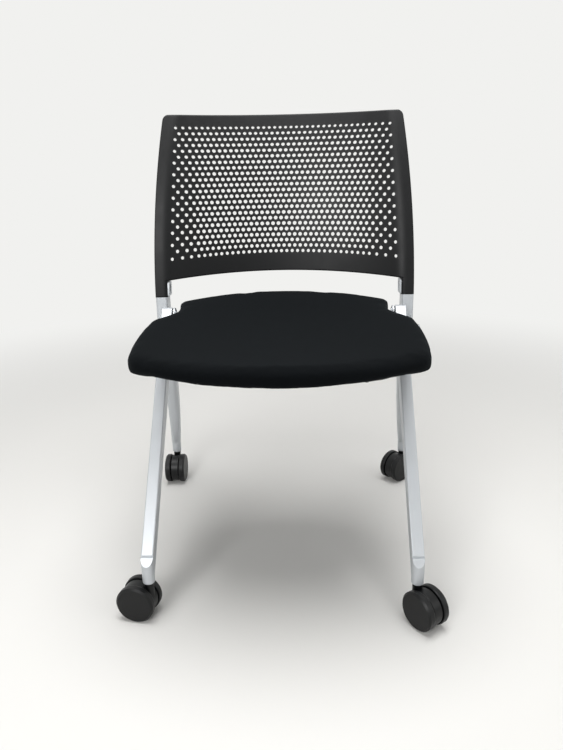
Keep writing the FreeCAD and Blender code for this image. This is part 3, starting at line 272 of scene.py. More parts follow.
@dataclass(frozen=True)
class Plywood(Finish):
    """Moulded beech plywood: dark glue lines between pale veneers, seen on its edges."""

    veneer_mm: float = 1.4
    grain_stretch: tuple[float, float, float] = (1.0, 0.06, 1.0)

    def surface(self, tree: bpy.types.NodeTree, place: Any) -> bpy.types.Node:
        """Adds the wood with long grain and layered veneers."""
        longer = add_node(tree, "ShaderNodeMapping", None, {"Vector": place, "Scale": self.grain_stretch})
        grain = self.drift(tree, longer.outputs[0], self.grain_mm, 5.0)
        layers = add_node(tree, "ShaderNodeTexWave", {"bands_direction": "Z"},
                          {"Vector": place, "Scale": 0.05 / (self.veneer_mm * MM), "Distortion": 0.6})
        tone = arithmetic(tree, "MULTIPLY", grain, layers.outputs["Fac"])
        return self.shader(tree, self.tinted(tree, tone, self.tone_span), self.roughness,
                           self.relief(tree, grain, self.relief_mm))


class Palette:
    """Every finish on the chair, made once and handed out by name."""

    finishes = {
        # Powder coat scatters light off its flake: bright where it faces up, grey where it faces down
        "silver_coat": PowderCoat("silver_powder_coat", "#C2C6CA", 0.36, metallic=0.35, relief_mm=0.004,
                                  tone_span=0.05, drift_mm=45.0),
        # Same silver coat as the frame, given a darker colour here as painted shade for the tube's place under
        # the seat
        "silver_tube": PowderCoat("silver_coated_tube_painted_shade", "#9DA1A5", 0.4, metallic=0.3, relief_mm=0.004,
                                  tone_span=0.05),
        # Polypropylene from a spark-eroded mould: near black, and pale only where it mirrors a window
        "back_plastic": Finish("moulded_black_polypropylene", "#08090B", 0.42, ior=1.33, grain_mm=0.45,
                               relief_mm=0.02, tone_span=0.12, drift_mm=40.0),
        "cloth": WovenCloth("black_crepe_upholstery", "#040608", 0.95, ior=1.18, grain_mm=0.7,
                            relief_mm=0.12, tone_span=0.45, drift_mm=30.0, sheen=0.05),
        "hood_plastic": Finish("moulded_caster_nylon", "#060708", 0.36, ior=1.36, grain_mm=0.5,
                               relief_mm=0.012, tone_span=0.1, drift_mm=25.0),
        "wheel_plastic": Finish("moulded_wheel_nylon", "#0A0B0C", 0.42, ior=1.36, grain_mm=0.6,
                                relief_mm=0.02, tone_span=0.14, drift_mm=12.0),
        "pan_plastic": Finish("grained_black_pan", "#141517", 0.6, grain_mm=1.2, relief_mm=0.06,
                              tone_span=0.1, drift_mm=50.0),
        "nylon": Finish("natural_black_nylon", "#151515", 0.45, grain_mm=0.5, relief_mm=0.01),
        "rubber": Finish("moulded_rubber", "#0E0E0E", 0.8, grain_mm=0.5, relief_mm=0.03, tone_span=0.2,
                         drift_mm=8.0),
        "black_steel": Finish("black_coated_steel", "#1A1B1D", 0.45, metallic=0.2, grain_mm=0.8,
                              relief_mm=0.01),
        "steel": BrushedSteel("zinc_plated_steel", "#A9ADB2", 0.34, metallic=1.0, grain_mm=0.4,
                              relief_mm=0.004, tone_span=0.06, drift_mm=6.0),
        "aluminium": BrushedSteel("turned_aluminium", "#C3C5C8", 0.36, metallic=1.0, grain_mm=0.4,
                                  relief_mm=0.004, drift_mm=8.0),
        "plywood": Plywood("moulded_beech_plywood", "#B08B62", 0.6, grain_mm=3.0, relief_mm=0.03,
                           tone_span=0.3),
    }

    def __init__(self) -> None:
        """Starts with no material made."""
        self.made: dict[str, bpy.types.Material] = {}

    def get(self, name: str) -> bpy.types.Material:
        """Gives a finish's material, and makes it the first time."""
        if name not in self.made:
            self.made[name] = self.finishes[name].build()
        return self.made[name]


# ---------------------------------------------------------------- mesh helpers

def linked(name: str, data: Any) -> bpy.types.Object:
    """Makes an object of a mesh, lamp or camera and links it to the scene."""
    made = bpy.data.objects.new(name, data)
    bpy.context.scene.collection.objects.link(made)
    return made


def piece_from(name: str, mesh: bpy.types.Mesh, material: bpy.types.Material, body: str,
               replaced: Sequence[str] = ()) -> bpy.types.Object:
    """Puts a finished mesh in the scene as a piece of the chair.

    Args:
        name: The piece's name.
        mesh: Its mesh, in metres and in the chair's frame.
        material: Its finish.
        body: The body that it rides on.
        replaced: The frame's nodes that it stands for.

    Returns:
        The piece's object.
    """
    mesh.name = name
    mesh.materials.clear()
    mesh.materials.append(material)
    piece = linked(name, mesh)
    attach(piece, body)
    if replaced:
        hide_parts(*replaced)
    LOG.info("%s: %d faces on %s", name, len(mesh.polygons), body)
    return piece


def mesh_from(shape: bmesh.types.BMesh, name: str, sharp_deg: float = 35.0) -> bpy.types.Mesh:
    """Turns an edited shape into a smooth-shaded mesh with crisp corners.

    Args:
        shape: The edited shape, freed afterwards.
        name: The mesh's name.
        sharp_deg: Corners sharper than this stay crisp.

    Returns:
        The mesh.
    """
    mesh = bpy.data.meshes.new(name)
    shape.to_mesh(mesh)
    shape.free()
    mesh.shade_smooth()
    mesh.set_sharp_from_angle(angle=math.radians(sharp_deg))
    return mesh


def baked(piece: bpy.types.Object, name: str) -> bpy.types.Mesh:
    """Applies a working object's modifiers and removes the object.

    Args:
        piece: The working object.
        name: The new mesh's name.

    Returns:
        Its evaluated mesh.
    """
    bpy.context.view_layer.update()
    graph = bpy.context.evaluated_depsgraph_get()
    mesh = bpy.data.meshes.new_from_object(piece.evaluated_get(graph), depsgraph=graph)
    mesh.name = name
    bpy.data.objects.remove(piece)
    return mesh


def working_object(mesh: bpy.types.Mesh) -> bpy.types.Object:
    """Links a mesh to the scene for its modifiers to run on."""
    return linked("working", mesh)


def bridge(shape: bmesh.types.BMesh, rings: Sequence[Sequence[bmesh.types.BMVert]]) -> None:
    """Joins rings of equal counts in turn and closes the first and the last, with outward normals.

    Args:
        shape: The shape that the rings' corners are in.
        rings: The rings, each in the same direction.
    """
    count = len(rings[0])
    for low, high in zip(rings, rings[1:]):
        for index in range(count):
            after = (index + 1) % count
            shape.faces.new((low[index], low[after], high[after], high[index]))
    shape.faces.new(rings[-1])
    shape.faces.new(list(reversed(rings[0])))
    bmesh.ops.recalc_face_normals(shape, faces=shape.faces)


# ---------------------------------------------------------------- backrest

@dataclass
class Backrest:
    """Perforated moulded shell on two hollow arms. Lengths are in millimetres."""

    foot: float = 466.0
    top: float = 802.0
    lower_edge: float = 497.0
    edge_rise: float = 8.0
    half_at_foot: float = 249.5
    side_radius: float = 2583.0
    lean_deg: float = 7.0
    lean_radius: float = 1309.0
    front: float = 91.0
    border: float = 13.0
    blend: float = 40.0
    bowl_low_deg: float = 31.0
    bowl_high_deg: float = 27.0
    corner: float = 10.0
    arm_width: float = 24.4
    arm_depth: float = 30.0
    arm_length: float = 150.0
    wall: float = 4.6
    edge_round: float = 1.9
    columns: int = 38
    rows: int = 23
    pitch: float = 10.71
    row_pitch: float = 10.66
    lowest_row: float = 543.5
    hole: float = 7.5
    rim_holes: float = 0.84
    segments: int = 16
    side_bands: int = 14
    top_bands: int = 9
    low_bands: int = 14
    weld: float = 0.03
    fan_low: float = 15.8
    fan_high: float = 4.9
    fan_start: float = 15.4
    fan_reach: float = 3.1
    fan_power: float = 1.6
    sag: float = 6.3
    sag_rows: float = 1.6
    sag_half: float = 214.0
    rim_power: int = 6
    rim_match: float = 0.02
    band_power: float = 1.9
    corner_zone: float = 20.0
    sleeve_rings: int = 16
    sleeve_round: float = 3.0
    sleeve_inset: float = 0.25
    sleeve_front: float = 2.2
    sleeve_top_edge: float = 2.2
    sleeve_foot_edge: float = 0.5
    cheek_wide: float = 25.0
    cheek_high: float = 27.0
    cheek_proud: float = 2.6
    cheek_round: float = 3.0
    cheek_face_round: float = 2.4
    cheek_edge: float = 0.7
    cheek_root: float = 0.6
    cheek_points: int = 48
    slot_wide: float = 10.0
    slot_high: float = 20.0
    slot_flat: float = 0.1
    slot_edge: float = 0.5
    slot_floor: float = 0.2

    def half_width(self, height: float) -> float:
        """Half width of the backrest at a height."""
        return self.half_at_foot - self.side_radius + math.sqrt(
            self.side_radius ** 2 - (height - self.foot) ** 2)

    def lean_y(self, height: float) -> float:
        """Front face of the side border at a height."""
        start = math.radians(self.lean_deg)
        slope = math.asin(math.sin(start) + (height - self.foot) / self.lean_radius)
        return self.front + self.lean_radius * (math.cos(start) - math.cos(slope))

    def face_y(self, x: float, height: float) -> float:
        """Front face of the moulding: border, blend and bowl.

        Args:
            x: Distance from the centre plane.
            height: Height above the floor.

        Returns:
            The Y of the front face there.
        """
        share = (height - self.lower_edge) / (self.top - self.lower_edge)
        turn = math.radians(self.bowl_low_deg * (1 - share) + self.bowl_high_deg * share)
        flat_end = self.half_width(height) - self.border
        near = self.lean_y(height)
        blend_x = flat_end - self.blend * math.sin(turn)
        reach = abs(x)
        if reach >= flat_end:
            return near
        if reach >= blend_x:
            return near + self.blend - math.sqrt(self.blend ** 2 - (flat_end - reach) ** 2)
        bowl = blend_x / math.sin(turn)
        depth = near + self.blend * (1 - math.cos(turn))
        return depth + math.sqrt(bowl ** 2 - reach ** 2) - bowl * math.cos(turn)

    def outer_x(self, height: float) -> float:
        """Half width of the outline, drawn in round the top corners."""
        edge = self.half_width(height)
        above = height - (self.top - self.corner)
        if above <= 0:
            return edge
        above = min(above, self.corner)
        return edge - self.corner + math.sqrt(max(0.0, self.corner ** 2 - above ** 2))

    def rearward(self, x: float, height: float) -> Vector:
        """Unit vector square to the face, pointing to the back of the chair."""
        step = 0.5
        slope_x = (self.face_y(x + step, height) - self.face_y(x - step, height)) / (2 * step)
        slope_z = (self.face_y(x, height + step) - self.face_y(x, height - step)) / (2 * step)
        return Vector((-slope_x, 1.0, -slope_z)).normalized()

    def column_x(self, count: float, share: float) -> float:
        """Distance of a column from the centre, the outer ones fanned apart towards the foot.

        Args:
            count: Columns from the centre.
            share: Height up the perforated field, 0 to 1.

        Returns:
            The distance in millimetres.
        """
        fan = self.fan_low * (1 - share) + self.fan_high * share
        beyond = max(0.0, abs(count) - self.fan_start) / self.fan_reach
        return math.copysign(abs(count) * self.pitch + fan * beyond ** self.fan_power, count)

    def row_height(self, row: float, x: float) -> float:
        """Height of a row, the lowest ones sagging towards the sides."""
        droop = self.sag * math.exp(-max(0.0, row) / self.sag_rows) * (abs(x) / self.sag_half) ** 2
        return self.lowest_row + row * self.row_pitch - droop

    def lower_z(self, x: float) -> float:
        """Lower edge of the panel between the arms."""
        inner = self.half_at_foot - self.arm_width
        return self.lower_edge + self.edge_rise * max(0.0, 1 - (x / inner) ** 2)

    def tile(self) -> bpy.types.Object:
        """One flat cell of the field: a square with a round hole, open at the back.

        Returns:
            A working object whose mesh is centred on the hole, in units of the pitch.
        """
        shape = bmesh.new()
        quarter = self.segments // 4
        outer, inner = [], []
        for index in range(self.segments):
            side, step = divmod(index, quarter)
            along = step / quarter - 0.5
            corner = [(0.5, along), (-along, 0.5), (-0.5, -along), (along, -0.5)][side]
            angle = math.atan2(corner[1], corner[0])
            outer.append(shape.verts.new((corner[0] * self.pitch, corner[1] * self.row_pitch, 0)))
            radius = self.hole / 2
            inner.append(shape.verts.new((math.cos(angle) * radius, math.sin(angle) * radius, 0)))
        for index in range(self.segments):
            after = (index + 1) % self.segments
            shape.faces.new((outer[index], outer[after], inner[after], inner[index]))
        mesh = bpy.data.meshes.new("tile")
        shape.to_mesh(mesh)
        shape.free()
        return working_object(mesh)

    def field_tree(self) -> bpy.types.NodeTree:
        """Builds the Geometry Nodes tree that lays the cells out in staggered rows.

        Returns:
            A tree with the inputs Tile, Columns, Rows, Pitch, Row Pitch and Material.
        """
        tree = bpy.data.node_groups.new("perforated_field", "GeometryNodeTree")
        for name, kind in (("Geometry", "Geometry"), ("Tile", "Object"), ("Columns", "Int"), ("Rows", "Int"),
                           ("Pitch", "Float"), ("Row Pitch", "Float"), ("Material", "Material")):
            tree.interface.new_socket(name, in_out="INPUT", socket_type="NodeSocket" + kind)
        tree.interface.new_socket("Geometry", in_out="OUTPUT", socket_type="NodeSocketGeometry")
        given = add_node(tree, "NodeGroupInput").outputs
        result = add_node(tree, "NodeGroupOutput")
        tile = add_node(tree, "GeometryNodeObjectInfo", None, {"Object": given["Tile"]})
        joined = add_node(tree, "GeometryNodeJoinGeometry")
        for odd in (0, 1):
            columns = arithmetic(tree, "SUBTRACT", given["Columns"], odd)
            rows = arithmetic(tree, "FLOOR", arithmetic(tree, "MULTIPLY_ADD", given["Rows"], 0.5, 0.5 - odd))
            span_x = arithmetic(tree, "MULTIPLY", arithmetic(tree, "SUBTRACT", columns, 1.0), given["Pitch"])
            twice = arithmetic(tree, "MULTIPLY", given["Row Pitch"], 2.0)
            span_y = arithmetic(tree, "MULTIPLY", arithmetic(tree, "SUBTRACT", rows, 1.0), twice)
            grid = add_node(tree, "GeometryNodeMeshGrid", None,
                            {"Size X": span_x, "Size Y": span_y, "Vertices X": columns, "Vertices Y": rows})
            shift = arithmetic(tree, "MULTIPLY", given["Row Pitch"], float(odd))
            lift = arithmetic(tree, "MULTIPLY_ADD", span_y, 0.5, shift)
            offset = add_node(tree, "ShaderNodeCombineXYZ", None, {"Y": lift})
            moved = add_node(tree, "GeometryNodeTransform", None,
                             {"Geometry": grid.outputs["Mesh"], "Translation": offset.outputs[0]})
            copies = add_node(tree, "GeometryNodeInstanceOnPoints", None,
                              {"Points": moved.outputs[0], "Instance": tile.outputs["Geometry"]})
            tree.links.new(copies.outputs[0], joined.inputs[0])
        real = add_node(tree, "GeometryNodeRealizeInstances", None, {"Geometry": joined.outputs[0]})
        welded = add_node(tree, "GeometryNodeMergeByDistance", None,
                          {"Geometry": real.outputs[0], "Distance": 0.02})
        dressed = add_node(tree, "GeometryNodeSetMaterial", None,
                           {"Geometry": welded.outputs[0], "Material": given["Material"]})
        tree.links.new(dressed.outputs[0], result.inputs[0])
        return tree

    def flat_field(self, material: bpy.types.Material) -> bmesh.types.BMesh:
        """Runs the tree and gives the flat perforated field, in millimetres, its lowest row at zero."""
        tile = self.tile()
        holder = working_object(bpy.data.meshes.new("field"))
        tree = self.field_tree()
        layout = holder.modifiers.new("layout", "NODES")
        layout.node_group = tree
        values = {"Tile": tile, "Columns": self.columns, "Rows": self.rows, "Pitch": self.pitch,
                  "Row Pitch": self.row_pitch, "Material": material}
        for item in tree.interface.items_tree:
            if item.in_out == "INPUT" and item.name in values:
                layout[item.identifier] = values[item.name]
        mesh = baked(holder, "flat_field")
        bpy.data.objects.remove(tile)
        shape = bmesh.new()
        shape.from_mesh(mesh)
        return shape

    def add_blank(self, shape: bmesh.types.BMesh) -> None:
        """Closes the field's stepped ends and adds the plain border, arm fronts and edge bands.

        Columns and rows run on in quarter pitches, so that every new corner meets one of the field's.

        Args:
            shape: The flat field, which gets the new faces.
        """
        quarter = self.segments // 4
        half = self.columns * quarter // 2
        high = self.rows * quarter
        step_x = self.pitch / quarter
        step_y = self.row_pitch / quarter
        low_y = -self.row_pitch / 2
        known: dict[tuple[int, int], bmesh.types.BMVert] = {}

        def spot(column: int, row: int) -> bmesh.types.BMVert:
            """Gives the corner at a quarter pitch, made the first time."""
            if (column, row) not in known:
                known[column, row] = shape.verts.new((column * step_x, low_y + row * step_y, 0))
            return known[column, row]

        def fill(column: int, row: int) -> None:
            """Adds one quarter-pitch face."""
            shape.faces.new((spot(column, row), spot(column + 1, row), spot(column + 1, row + 1),
                             spot(column, row + 1)))

        for row in range(-2 * self.low_bands, high + self.top_bands):
            for column in range(-half - self.side_bands, half + self.side_bands):
                in_field = -half <= column < half and 0 <= row < high
                stepped_end = in_field and (row // quarter) % 2 == 1 and not (
                    -half + quarter // 2 <= column < half - quarter // 2)
                if in_field and not stepped_end:
                    continue
                if row < -self.low_bands and -half <= column < half:
                    continue
                fill(column, row)
        bmesh.ops.remove_doubles(shape, verts=shape.verts, dist=self.weld)

    def place(self, u: float, v: float) -> tuple[float, float]:
        """Takes a point of the flat layout to its distance from the centre and its height.

        Args:
            u: Flat distance from the centre.
            v: Flat height, zero at the lowest row.

        Returns:
            x and height on the moulding.
        """
        quarter = self.segments // 4
        half_u = self.columns * self.pitch / 2
        band_x = self.pitch / quarter * self.side_bands
        low_v = -self.row_pitch / 2
        high_v = low_v + self.rows * self.row_pitch
        step_y = self.row_pitch / quarter
        low_band = step_y * self.low_bands
        inside_row = min(max(v, low_v), high_v) / self.row_pitch
        share = min(max(inside_row / (self.rows - 1), 0.0), 1.0)
        count = max(-half_u, min(half_u, u)) / self.pitch
        x = self.column_x(count, share)
        height = self.row_height(inside_row, x)
        if v > high_v:
            along = (v - high_v) / (step_y * self.top_bands)
            height += (self.top - height) * self.eased(along)
        elif v < low_v:
            along = min(1.0, (low_v - v) / low_band)
            edge_z = self.lower_z(min(abs(x), self.half_at_foot - self.arm_width))
            height += (edge_z - height) * self.eased(along)
            below = (low_v - v) / low_band - 1
            if below > 0:
                height += (self.foot - height) * self.eased(below)
        if abs(u) > half_u:
            along = (abs(u) - half_u) / band_x
            edge = self.outer_x(height)
            if v < low_v:
                sunk = min(1.0, (low_v - v) / low_band)
                straight = self.half_width(height) - self.arm_width
                x = math.copysign(abs(x) * (1 - sunk) + straight * sunk, x)
            x = math.copysign(abs(x) + (edge - abs(x)) * self.eased(along), u)
        elif v < low_v:
            sunk = min(1.0, (low_v - v) / low_band)
            ratio = (self.half_width(height) - self.arm_width) / self.column_x(half_u / self.pitch, 0.0)
            x *= 1 + (ratio - 1) * sunk
        else:
            limit = self.outer_x(height)
            full = self.half_width(height)
            x *= limit / full if v > high_v else 1.0
        return x, height

    def eased(self, share: float) -> float:
        """Spaces bands closer together towards an edge, where the moulding is rounded."""
        return 1 - (1 - min(1.0, share)) ** self.band_power

    def edge_distance(self, x: float, height: float) -> float:
        """Distance from the nearest outer edge of the moulding."""
        reach = abs(x)
        inner = self.half_width(height) - self.arm_width
        distances = [self.outer_x(height) - reach, self.top - height, height - self.foot]
        if height < self.lower_edge + self.edge_rise + self.corner_zone:
            if reach < inner:
                distances.append(height - self.lower_z(x))
            elif height < self.lower_edge:
                distances.append(reach - inner)
            else:
                distances.append(math.hypot(reach - inner, height - self.lower_edge))
        return max(0.0, min(distances))

    def rolled(self, distance: float) -> float:
        """How far the face is set back, at a distance from an edge, by the edge's rounding."""
        if distance >= self.edge_round:
            return 0.0
        return self.edge_round - math.sqrt(self.edge_round ** 2 - (self.edge_round - distance) ** 2)

    def shell_mesh(self, material: bpy.types.Material) -> bpy.types.Mesh:
        """Bends the flat layout to the moulding's form and gives it its wall.

        Args:
            material: The moulding's finish.

        Returns:
            The closed, perforated shell in metres.
        """
        shape = self.flat_field(material)
        self.add_blank(shape)
        bmesh.ops.recalc_face_normals(shape, faces=shape.faces)
        front: list[Vector] = []
        back: list[Vector] = []
        nominal = self.hole / 2
        for vert in shape.verts:
            u, v = vert.co.x, vert.co.y
            x, height = self.place(u, v)
            row = round(v / self.row_pitch)
            if 0 <= row < self.rows:
                odd = row % 2
                start = 0.5 if (self.columns % 2 == 0) != bool(odd) else 0.0
                column = round(u / self.pitch - start) + start
                centre_u, centre_v = column * self.pitch, row * self.row_pitch
                radius = math.hypot(u - centre_u, v - centre_v)
                if abs(radius - nominal) < self.rim_match:
                    rim = max(abs(column) / (self.columns / 2),
                              abs(row / (self.rows - 1) * 2 - 1)) ** self.rim_power
                    scale = 1 - (1 - self.rim_holes) * rim
                    x0, z0 = self.place(centre_u, centre_v)
                    angle = math.atan2(v - centre_v, u - centre_u)
                    x = x0 + math.cos(angle) * nominal * scale
                    height = z0 + math.sin(angle) * nominal * scale
            normal = self.rearward(x, height)
            set_back = self.rolled(self.edge_distance(x, height))
            face = Vector((x, self.face_y(x, height), height))
            front.append((face + normal * set_back) * MM)
            back.append((face + normal * (self.wall - set_back)) * MM)
        shape.verts.index_update()
        solid = bmesh.new()
        near = [solid.verts.new(point) for point in front]
        far = [solid.verts.new(point) for point in back]
        for face in shape.faces:
            ring = [vert.index for vert in face.verts]
            if face.normal.z < 0:
                ring.reverse()
            solid.faces.new([near[index] for index in ring])
            solid.faces.new([far[index] for index in reversed(ring)])
        for edge in shape.edges:
            if len(edge.link_faces) == 1:
                loop = edge.link_loops[0]
                a, b = loop.vert.index, loop.link_loop_next.vert.index
                if loop.face.normal.z < 0:
                    a, b = b, a
                solid.faces.new((near[b], near[a], far[a], far[b]))
        shape.free()
        return mesh_from(solid, "backrest_shell", 40.0)

    def arm_mesh(self, side: int) -> bpy.types.Mesh:
        """The hollow arm's sleeve behind one border, as a closed solid: rounded outside, closed on top and at
        its foot.

        Args:
            side: -1 or 1.

        Returns:
            The sleeve in metres.
        """
        shape = bmesh.new()
        radius = self.sleeve_round
        wide = self.arm_width / 2 - self.sleeve_inset
        rings: list[list[bmesh.types.BMVert]] = []
        for step in range(self.sleeve_rings + 1):
            height = self.foot + self.arm_length * step / self.sleeve_rings
            centre_x = self.half_width(height) - self.arm_width / 2
            near = self.lean_y(height) + self.sleeve_front
            far = self.lean_y(height) + self.arm_depth
            middle = (near + far) / 2
            shrink = {0: self.sleeve_foot_edge, self.sleeve_rings: self.sleeve_top_edge}.get(step, 0.0)
            ring = []
            for corner_x, corner_y, start in ((1, 1, 0), (-1, 1, 90), (-1, -1, 180), (1, -1, 270)):
                for turn in range(0, 91, 18):
                    angle = math.radians(start + turn)
                    x = centre_x + corner_x * (wide - radius) + (radius - shrink) * math.cos(angle)
                    y = middle + corner_y * ((far - near) / 2 - radius) + (radius - shrink) * math.sin(angle)
                    ring.append(shape.verts.new((side * x * MM, y * MM, height * MM)))
            rings.append(ring)
        bridge(shape, rings)
        return mesh_from(shape, "backrest_arm")

    def cheek_mesh(self, side: int) -> bpy.types.Mesh:
        """The casting's bare cheek on an arm's inner side: a rounded plate with a long slot in it.

        Args:
            side: -1 or 1.

        Returns:
            The cheek in metres.
        """
        shape = bmesh.new()
        middle_z = self.foot + self.cheek_high / 2 + 1
        middle_y = self.lean_y(middle_z) + self.arm_depth / 2 + 1
        points = self.cheek_points

        def ring(wide: float, high: float, radius: float, proud: float) -> list[bmesh.types.BMVert]:
            """One outline of the cheek or its slot, at a height over the arm's inner face."""
            made = []
            for index in range(points):
                quarter, step = divmod(index, points // 4)
                angle = math.pi / 2 * (quarter + step / (points // 4 - 1))
                sign_y, sign_z = ((1, 1), (-1, 1), (-1, -1), (1, -1))[quarter]
                y = sign_y * (wide / 2 - radius) + radius * math.cos(angle)
                z = sign_z * (high / 2 - radius) + radius * math.sin(angle)
                height = middle_z + z
                lean = self.lean_y(height) - self.lean_y(middle_z)
                x = self.half_width(height) - self.arm_width - proud
                made.append(shape.verts.new((side * x * MM, (middle_y + y + lean) * MM, height * MM)))
            return made

        wide, high, proud = self.cheek_wide, self.cheek_high, self.cheek_proud
        slot_wide, slot_high = self.slot_wide, self.slot_high
        edge, corner, lip = self.cheek_edge, self.cheek_round, self.slot_edge
        slot_round = slot_wide / 2 - self.slot_flat
        rings = [ring(wide, high, corner, -self.cheek_root), ring(wide, high, corner, proud - edge),
                 ring(wide - 2 * edge, high - 2 * edge, self.cheek_face_round, proud),
                 ring(slot_wide + 2 * lip, slot_high + 2 * lip, slot_round + lip, proud),
                 ring(slot_wide, slot_high, slot_round, proud - lip),
                 ring(slot_wide, slot_high, slot_round, self.slot_floor)]
        bridge(shape, rings)
        return mesh_from(shape, "casting_cheek", 40.0)

    def build(self, palette: Palette) -> None:
        """Makes the shell and its two arms."""
        plastic = palette.get("back_plastic")
        piece_from("backrest_shell", self.shell_mesh(plastic), plastic, Body.FRAME.value,
                   ["backrest"])
        for side, word in zip(SIDES, ("right", "left")):
            piece_from(f"backrest_arm_{word}", self.arm_mesh(side), plastic,
                       Body.FRAME.value)
            piece_from(f"casting_cheek_{word}", self.cheek_mesh(side), palette.get("silver_coat"),
                       Body.FRAME.value)


# ---------------------------------------------------------------- seat

@dataclass
class Seat:
    """Upholstered pad over its board and pan. Lengths are in millimetres."""

    voxel: float = 4.4
    shrink: float = 1.2
    pressure: float = 4.0
    swell_cap: float = 3.0
    frames: int = 20
    lift_front: float = -267.0
    lift_rear: float = 66.0
    lift_half: float = 227.0
    rear_lift: float = 8.0
    side_lift: float = 9.0
    front_lift: float = 3.0
    under_lift: float = 4.0
    corner_lift: float = 7.0
    under_reach: float = 70.0
    rim_start: float = 0.55
    rim_squeeze: float = 0.42
    tuck_from: float = -85.0
    tuck_to: float = -12.0
    turns: int = 180

    @property
    def middle(self) -> float:
        """Middle of the lifted length along the chair, in metres."""
        return (self.lift_front + self.lift_rear) / 2 * MM

    def lift(self, x: float, y: float, facing: float) -> float:
        """How far upholstery stands above the plain solid.

        Args:
            x: Distance from the centre plane.
            y: Place along the chair.
            facing: Upward part of the surface's normal.

        Returns:
            The rise in millimetres.
        """
        along = min(1.0, max(0.0, (y - self.lift_front) / (self.lift_rear - self.lift_front)))
        across = min(1.0, abs(x) / self.lift_half)
        above = self.front_lift + (self.rear_lift - self.front_lift) * along
        above += self.side_lift * across ** 3 * math.sin(math.pi * along) ** 0.7
        near = max(0.0, 1 - along * (self.lift_rear - self.lift_front) / self.under_reach)
        below = (self.under_lift + self.corner_lift * across ** 2) * near * near * (3 - 2 * near)
        share = min(1.0, max(0.0, (facing + 0.5) / 0.8))
        return below + (above - below) * share

    def start_mesh(self) -> bpy.types.Mesh:
        """Copies the solid's surface, welded and drawn in a little, for the pad to swell from."""
        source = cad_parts["seat_cushion"].data
        shape = bmesh.new()
        shape.from_mesh(source)
        bmesh.ops.remove_doubles(shape, verts=shape.verts, dist=1e-5)
        shape.normal_update()
        for vert in shape.verts:
            vert.co = vert.co - vert.normal * self.shrink * MM
        mesh = bpy.data.meshes.new("pad_start")
        shape.to_mesh(mesh)
        shape.free()
        return mesh

    def swollen(self) -> bpy.types.Mesh:
        """Runs the cloth over the pad under a little pressure and caps how far it moves.

        Returns:
            The swollen mesh, smoothed by one subdivision.
        """
        pad = working_object(self.start_mesh())
        remesh = pad.modifiers.new("remesh", "REMESH")
        remesh.mode = "VOXEL"
        remesh.voxel_size = self.voxel * MM
        mesh = baked(pad, "pad")
        rest = [vert.co.copy() for vert in mesh.vertices]
        pad = working_object(mesh)
        cloth = pad.modifiers.new("cloth", "CLOTH")
        for name, value in (("quality", 5), ("mass", 0.3), ("tension_stiffness", 40),
                            ("compression_stiffness", 40), ("bending_stiffness", 2.0),
                            ("use_pressure", True), ("uniform_pressure_force", self.pressure)):
            setattr(cloth.settings, name, value)
        cloth.settings.effector_weights.gravity = 0
        cloth.point_cache.frame_start = 1
        cloth.point_cache.frame_end = self.frames
        scene = bpy.context.scene
        for step in range(1, self.frames + 1):
            scene.frame_set(step)
        mesh = baked(pad, "pad")
        scene.frame_set(1)
        for vert, start in zip(mesh.vertices, rest):
            move = vert.co - start
            if move.length > self.swell_cap * MM:
                vert.co = start + move.normalized() * self.swell_cap * MM
        facings = [vert.normal.z for vert in mesh.vertices]
        for vert, facing in zip(mesh.vertices, facings):
            vert.co.z += self.lift(vert.co.x / MM, vert.co.y / MM, facing) * MM
        pad = working_object(mesh)
        smooth = pad.modifiers.new("smooth", "SMOOTH")
        smooth.factor = 0.5
        smooth.iterations = 2
        fine = pad.modifiers.new("fine", "SUBSURF")
        fine.levels = fine.render_levels = 1
        return baked(pad, "seat_pad")

    def board_reach(self) -> list[float]:
        """Farthest reach of the board's outline from its middle, in equal turns, in metres."""
        reach = [0.0] * self.turns
        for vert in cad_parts["seat_board"].data.vertices:
            flat = Vector((vert.co.x, vert.co.y - self.middle))
            turn = self.turn_of(flat)
            reach[turn] = max(reach[turn], flat.length)
        return [max(reach[turn - 1], reach[turn], reach[(turn + 1) % self.turns])
                for turn in range(self.turns)]

    def turn_of(self, flat: Vector) -> int:
        """Which of the equal turns a direction falls in."""
        return int((math.atan2(flat.y, flat.x) / math.tau + 0.5) * self.turns) % self.turns

    def tuck(self, spot: Vector, reach: Sequence[float]) -> Vector:
        """Moves a point of the layers below the pad so that the pad's front overhangs them.

        Args:
            spot: The point on the solid, in metres.
            reach: The board's outline from board_reach.

        Returns:
            The point in under the pad, raised with the pad's underside.
        """
        flat = Vector((spot.x, spot.y - self.middle))
        ahead = (self.tuck_to - spot.y / MM) / (self.tuck_to - self.tuck_from)
        ahead = min(1.0, max(0.0, ahead))
        rim = reach[self.turn_of(flat)]
        beyond = flat.length - rim * self.rim_start
        if beyond > 0:
            flat -= flat.normalized() * beyond * self.rim_squeeze * ahead * ahead * (3 - 2 * ahead)
        rise = self.lift(flat.x / MM, (flat.y + self.middle) / MM, -1.0)
        return Vector((flat.x, flat.y + self.middle, spot.z + rise * MM))

    def tucked_layer(self, node: str, reach: Sequence[float]) -> bpy.types.Mesh:
        """Copies a layer's solid with its front tucked in under the pad."""
        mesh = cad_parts[node].data.copy()
        for vert in mesh.vertices:
            vert.co = self.tuck(vert.co, reach)
        mesh.shade_flat()
        return mesh

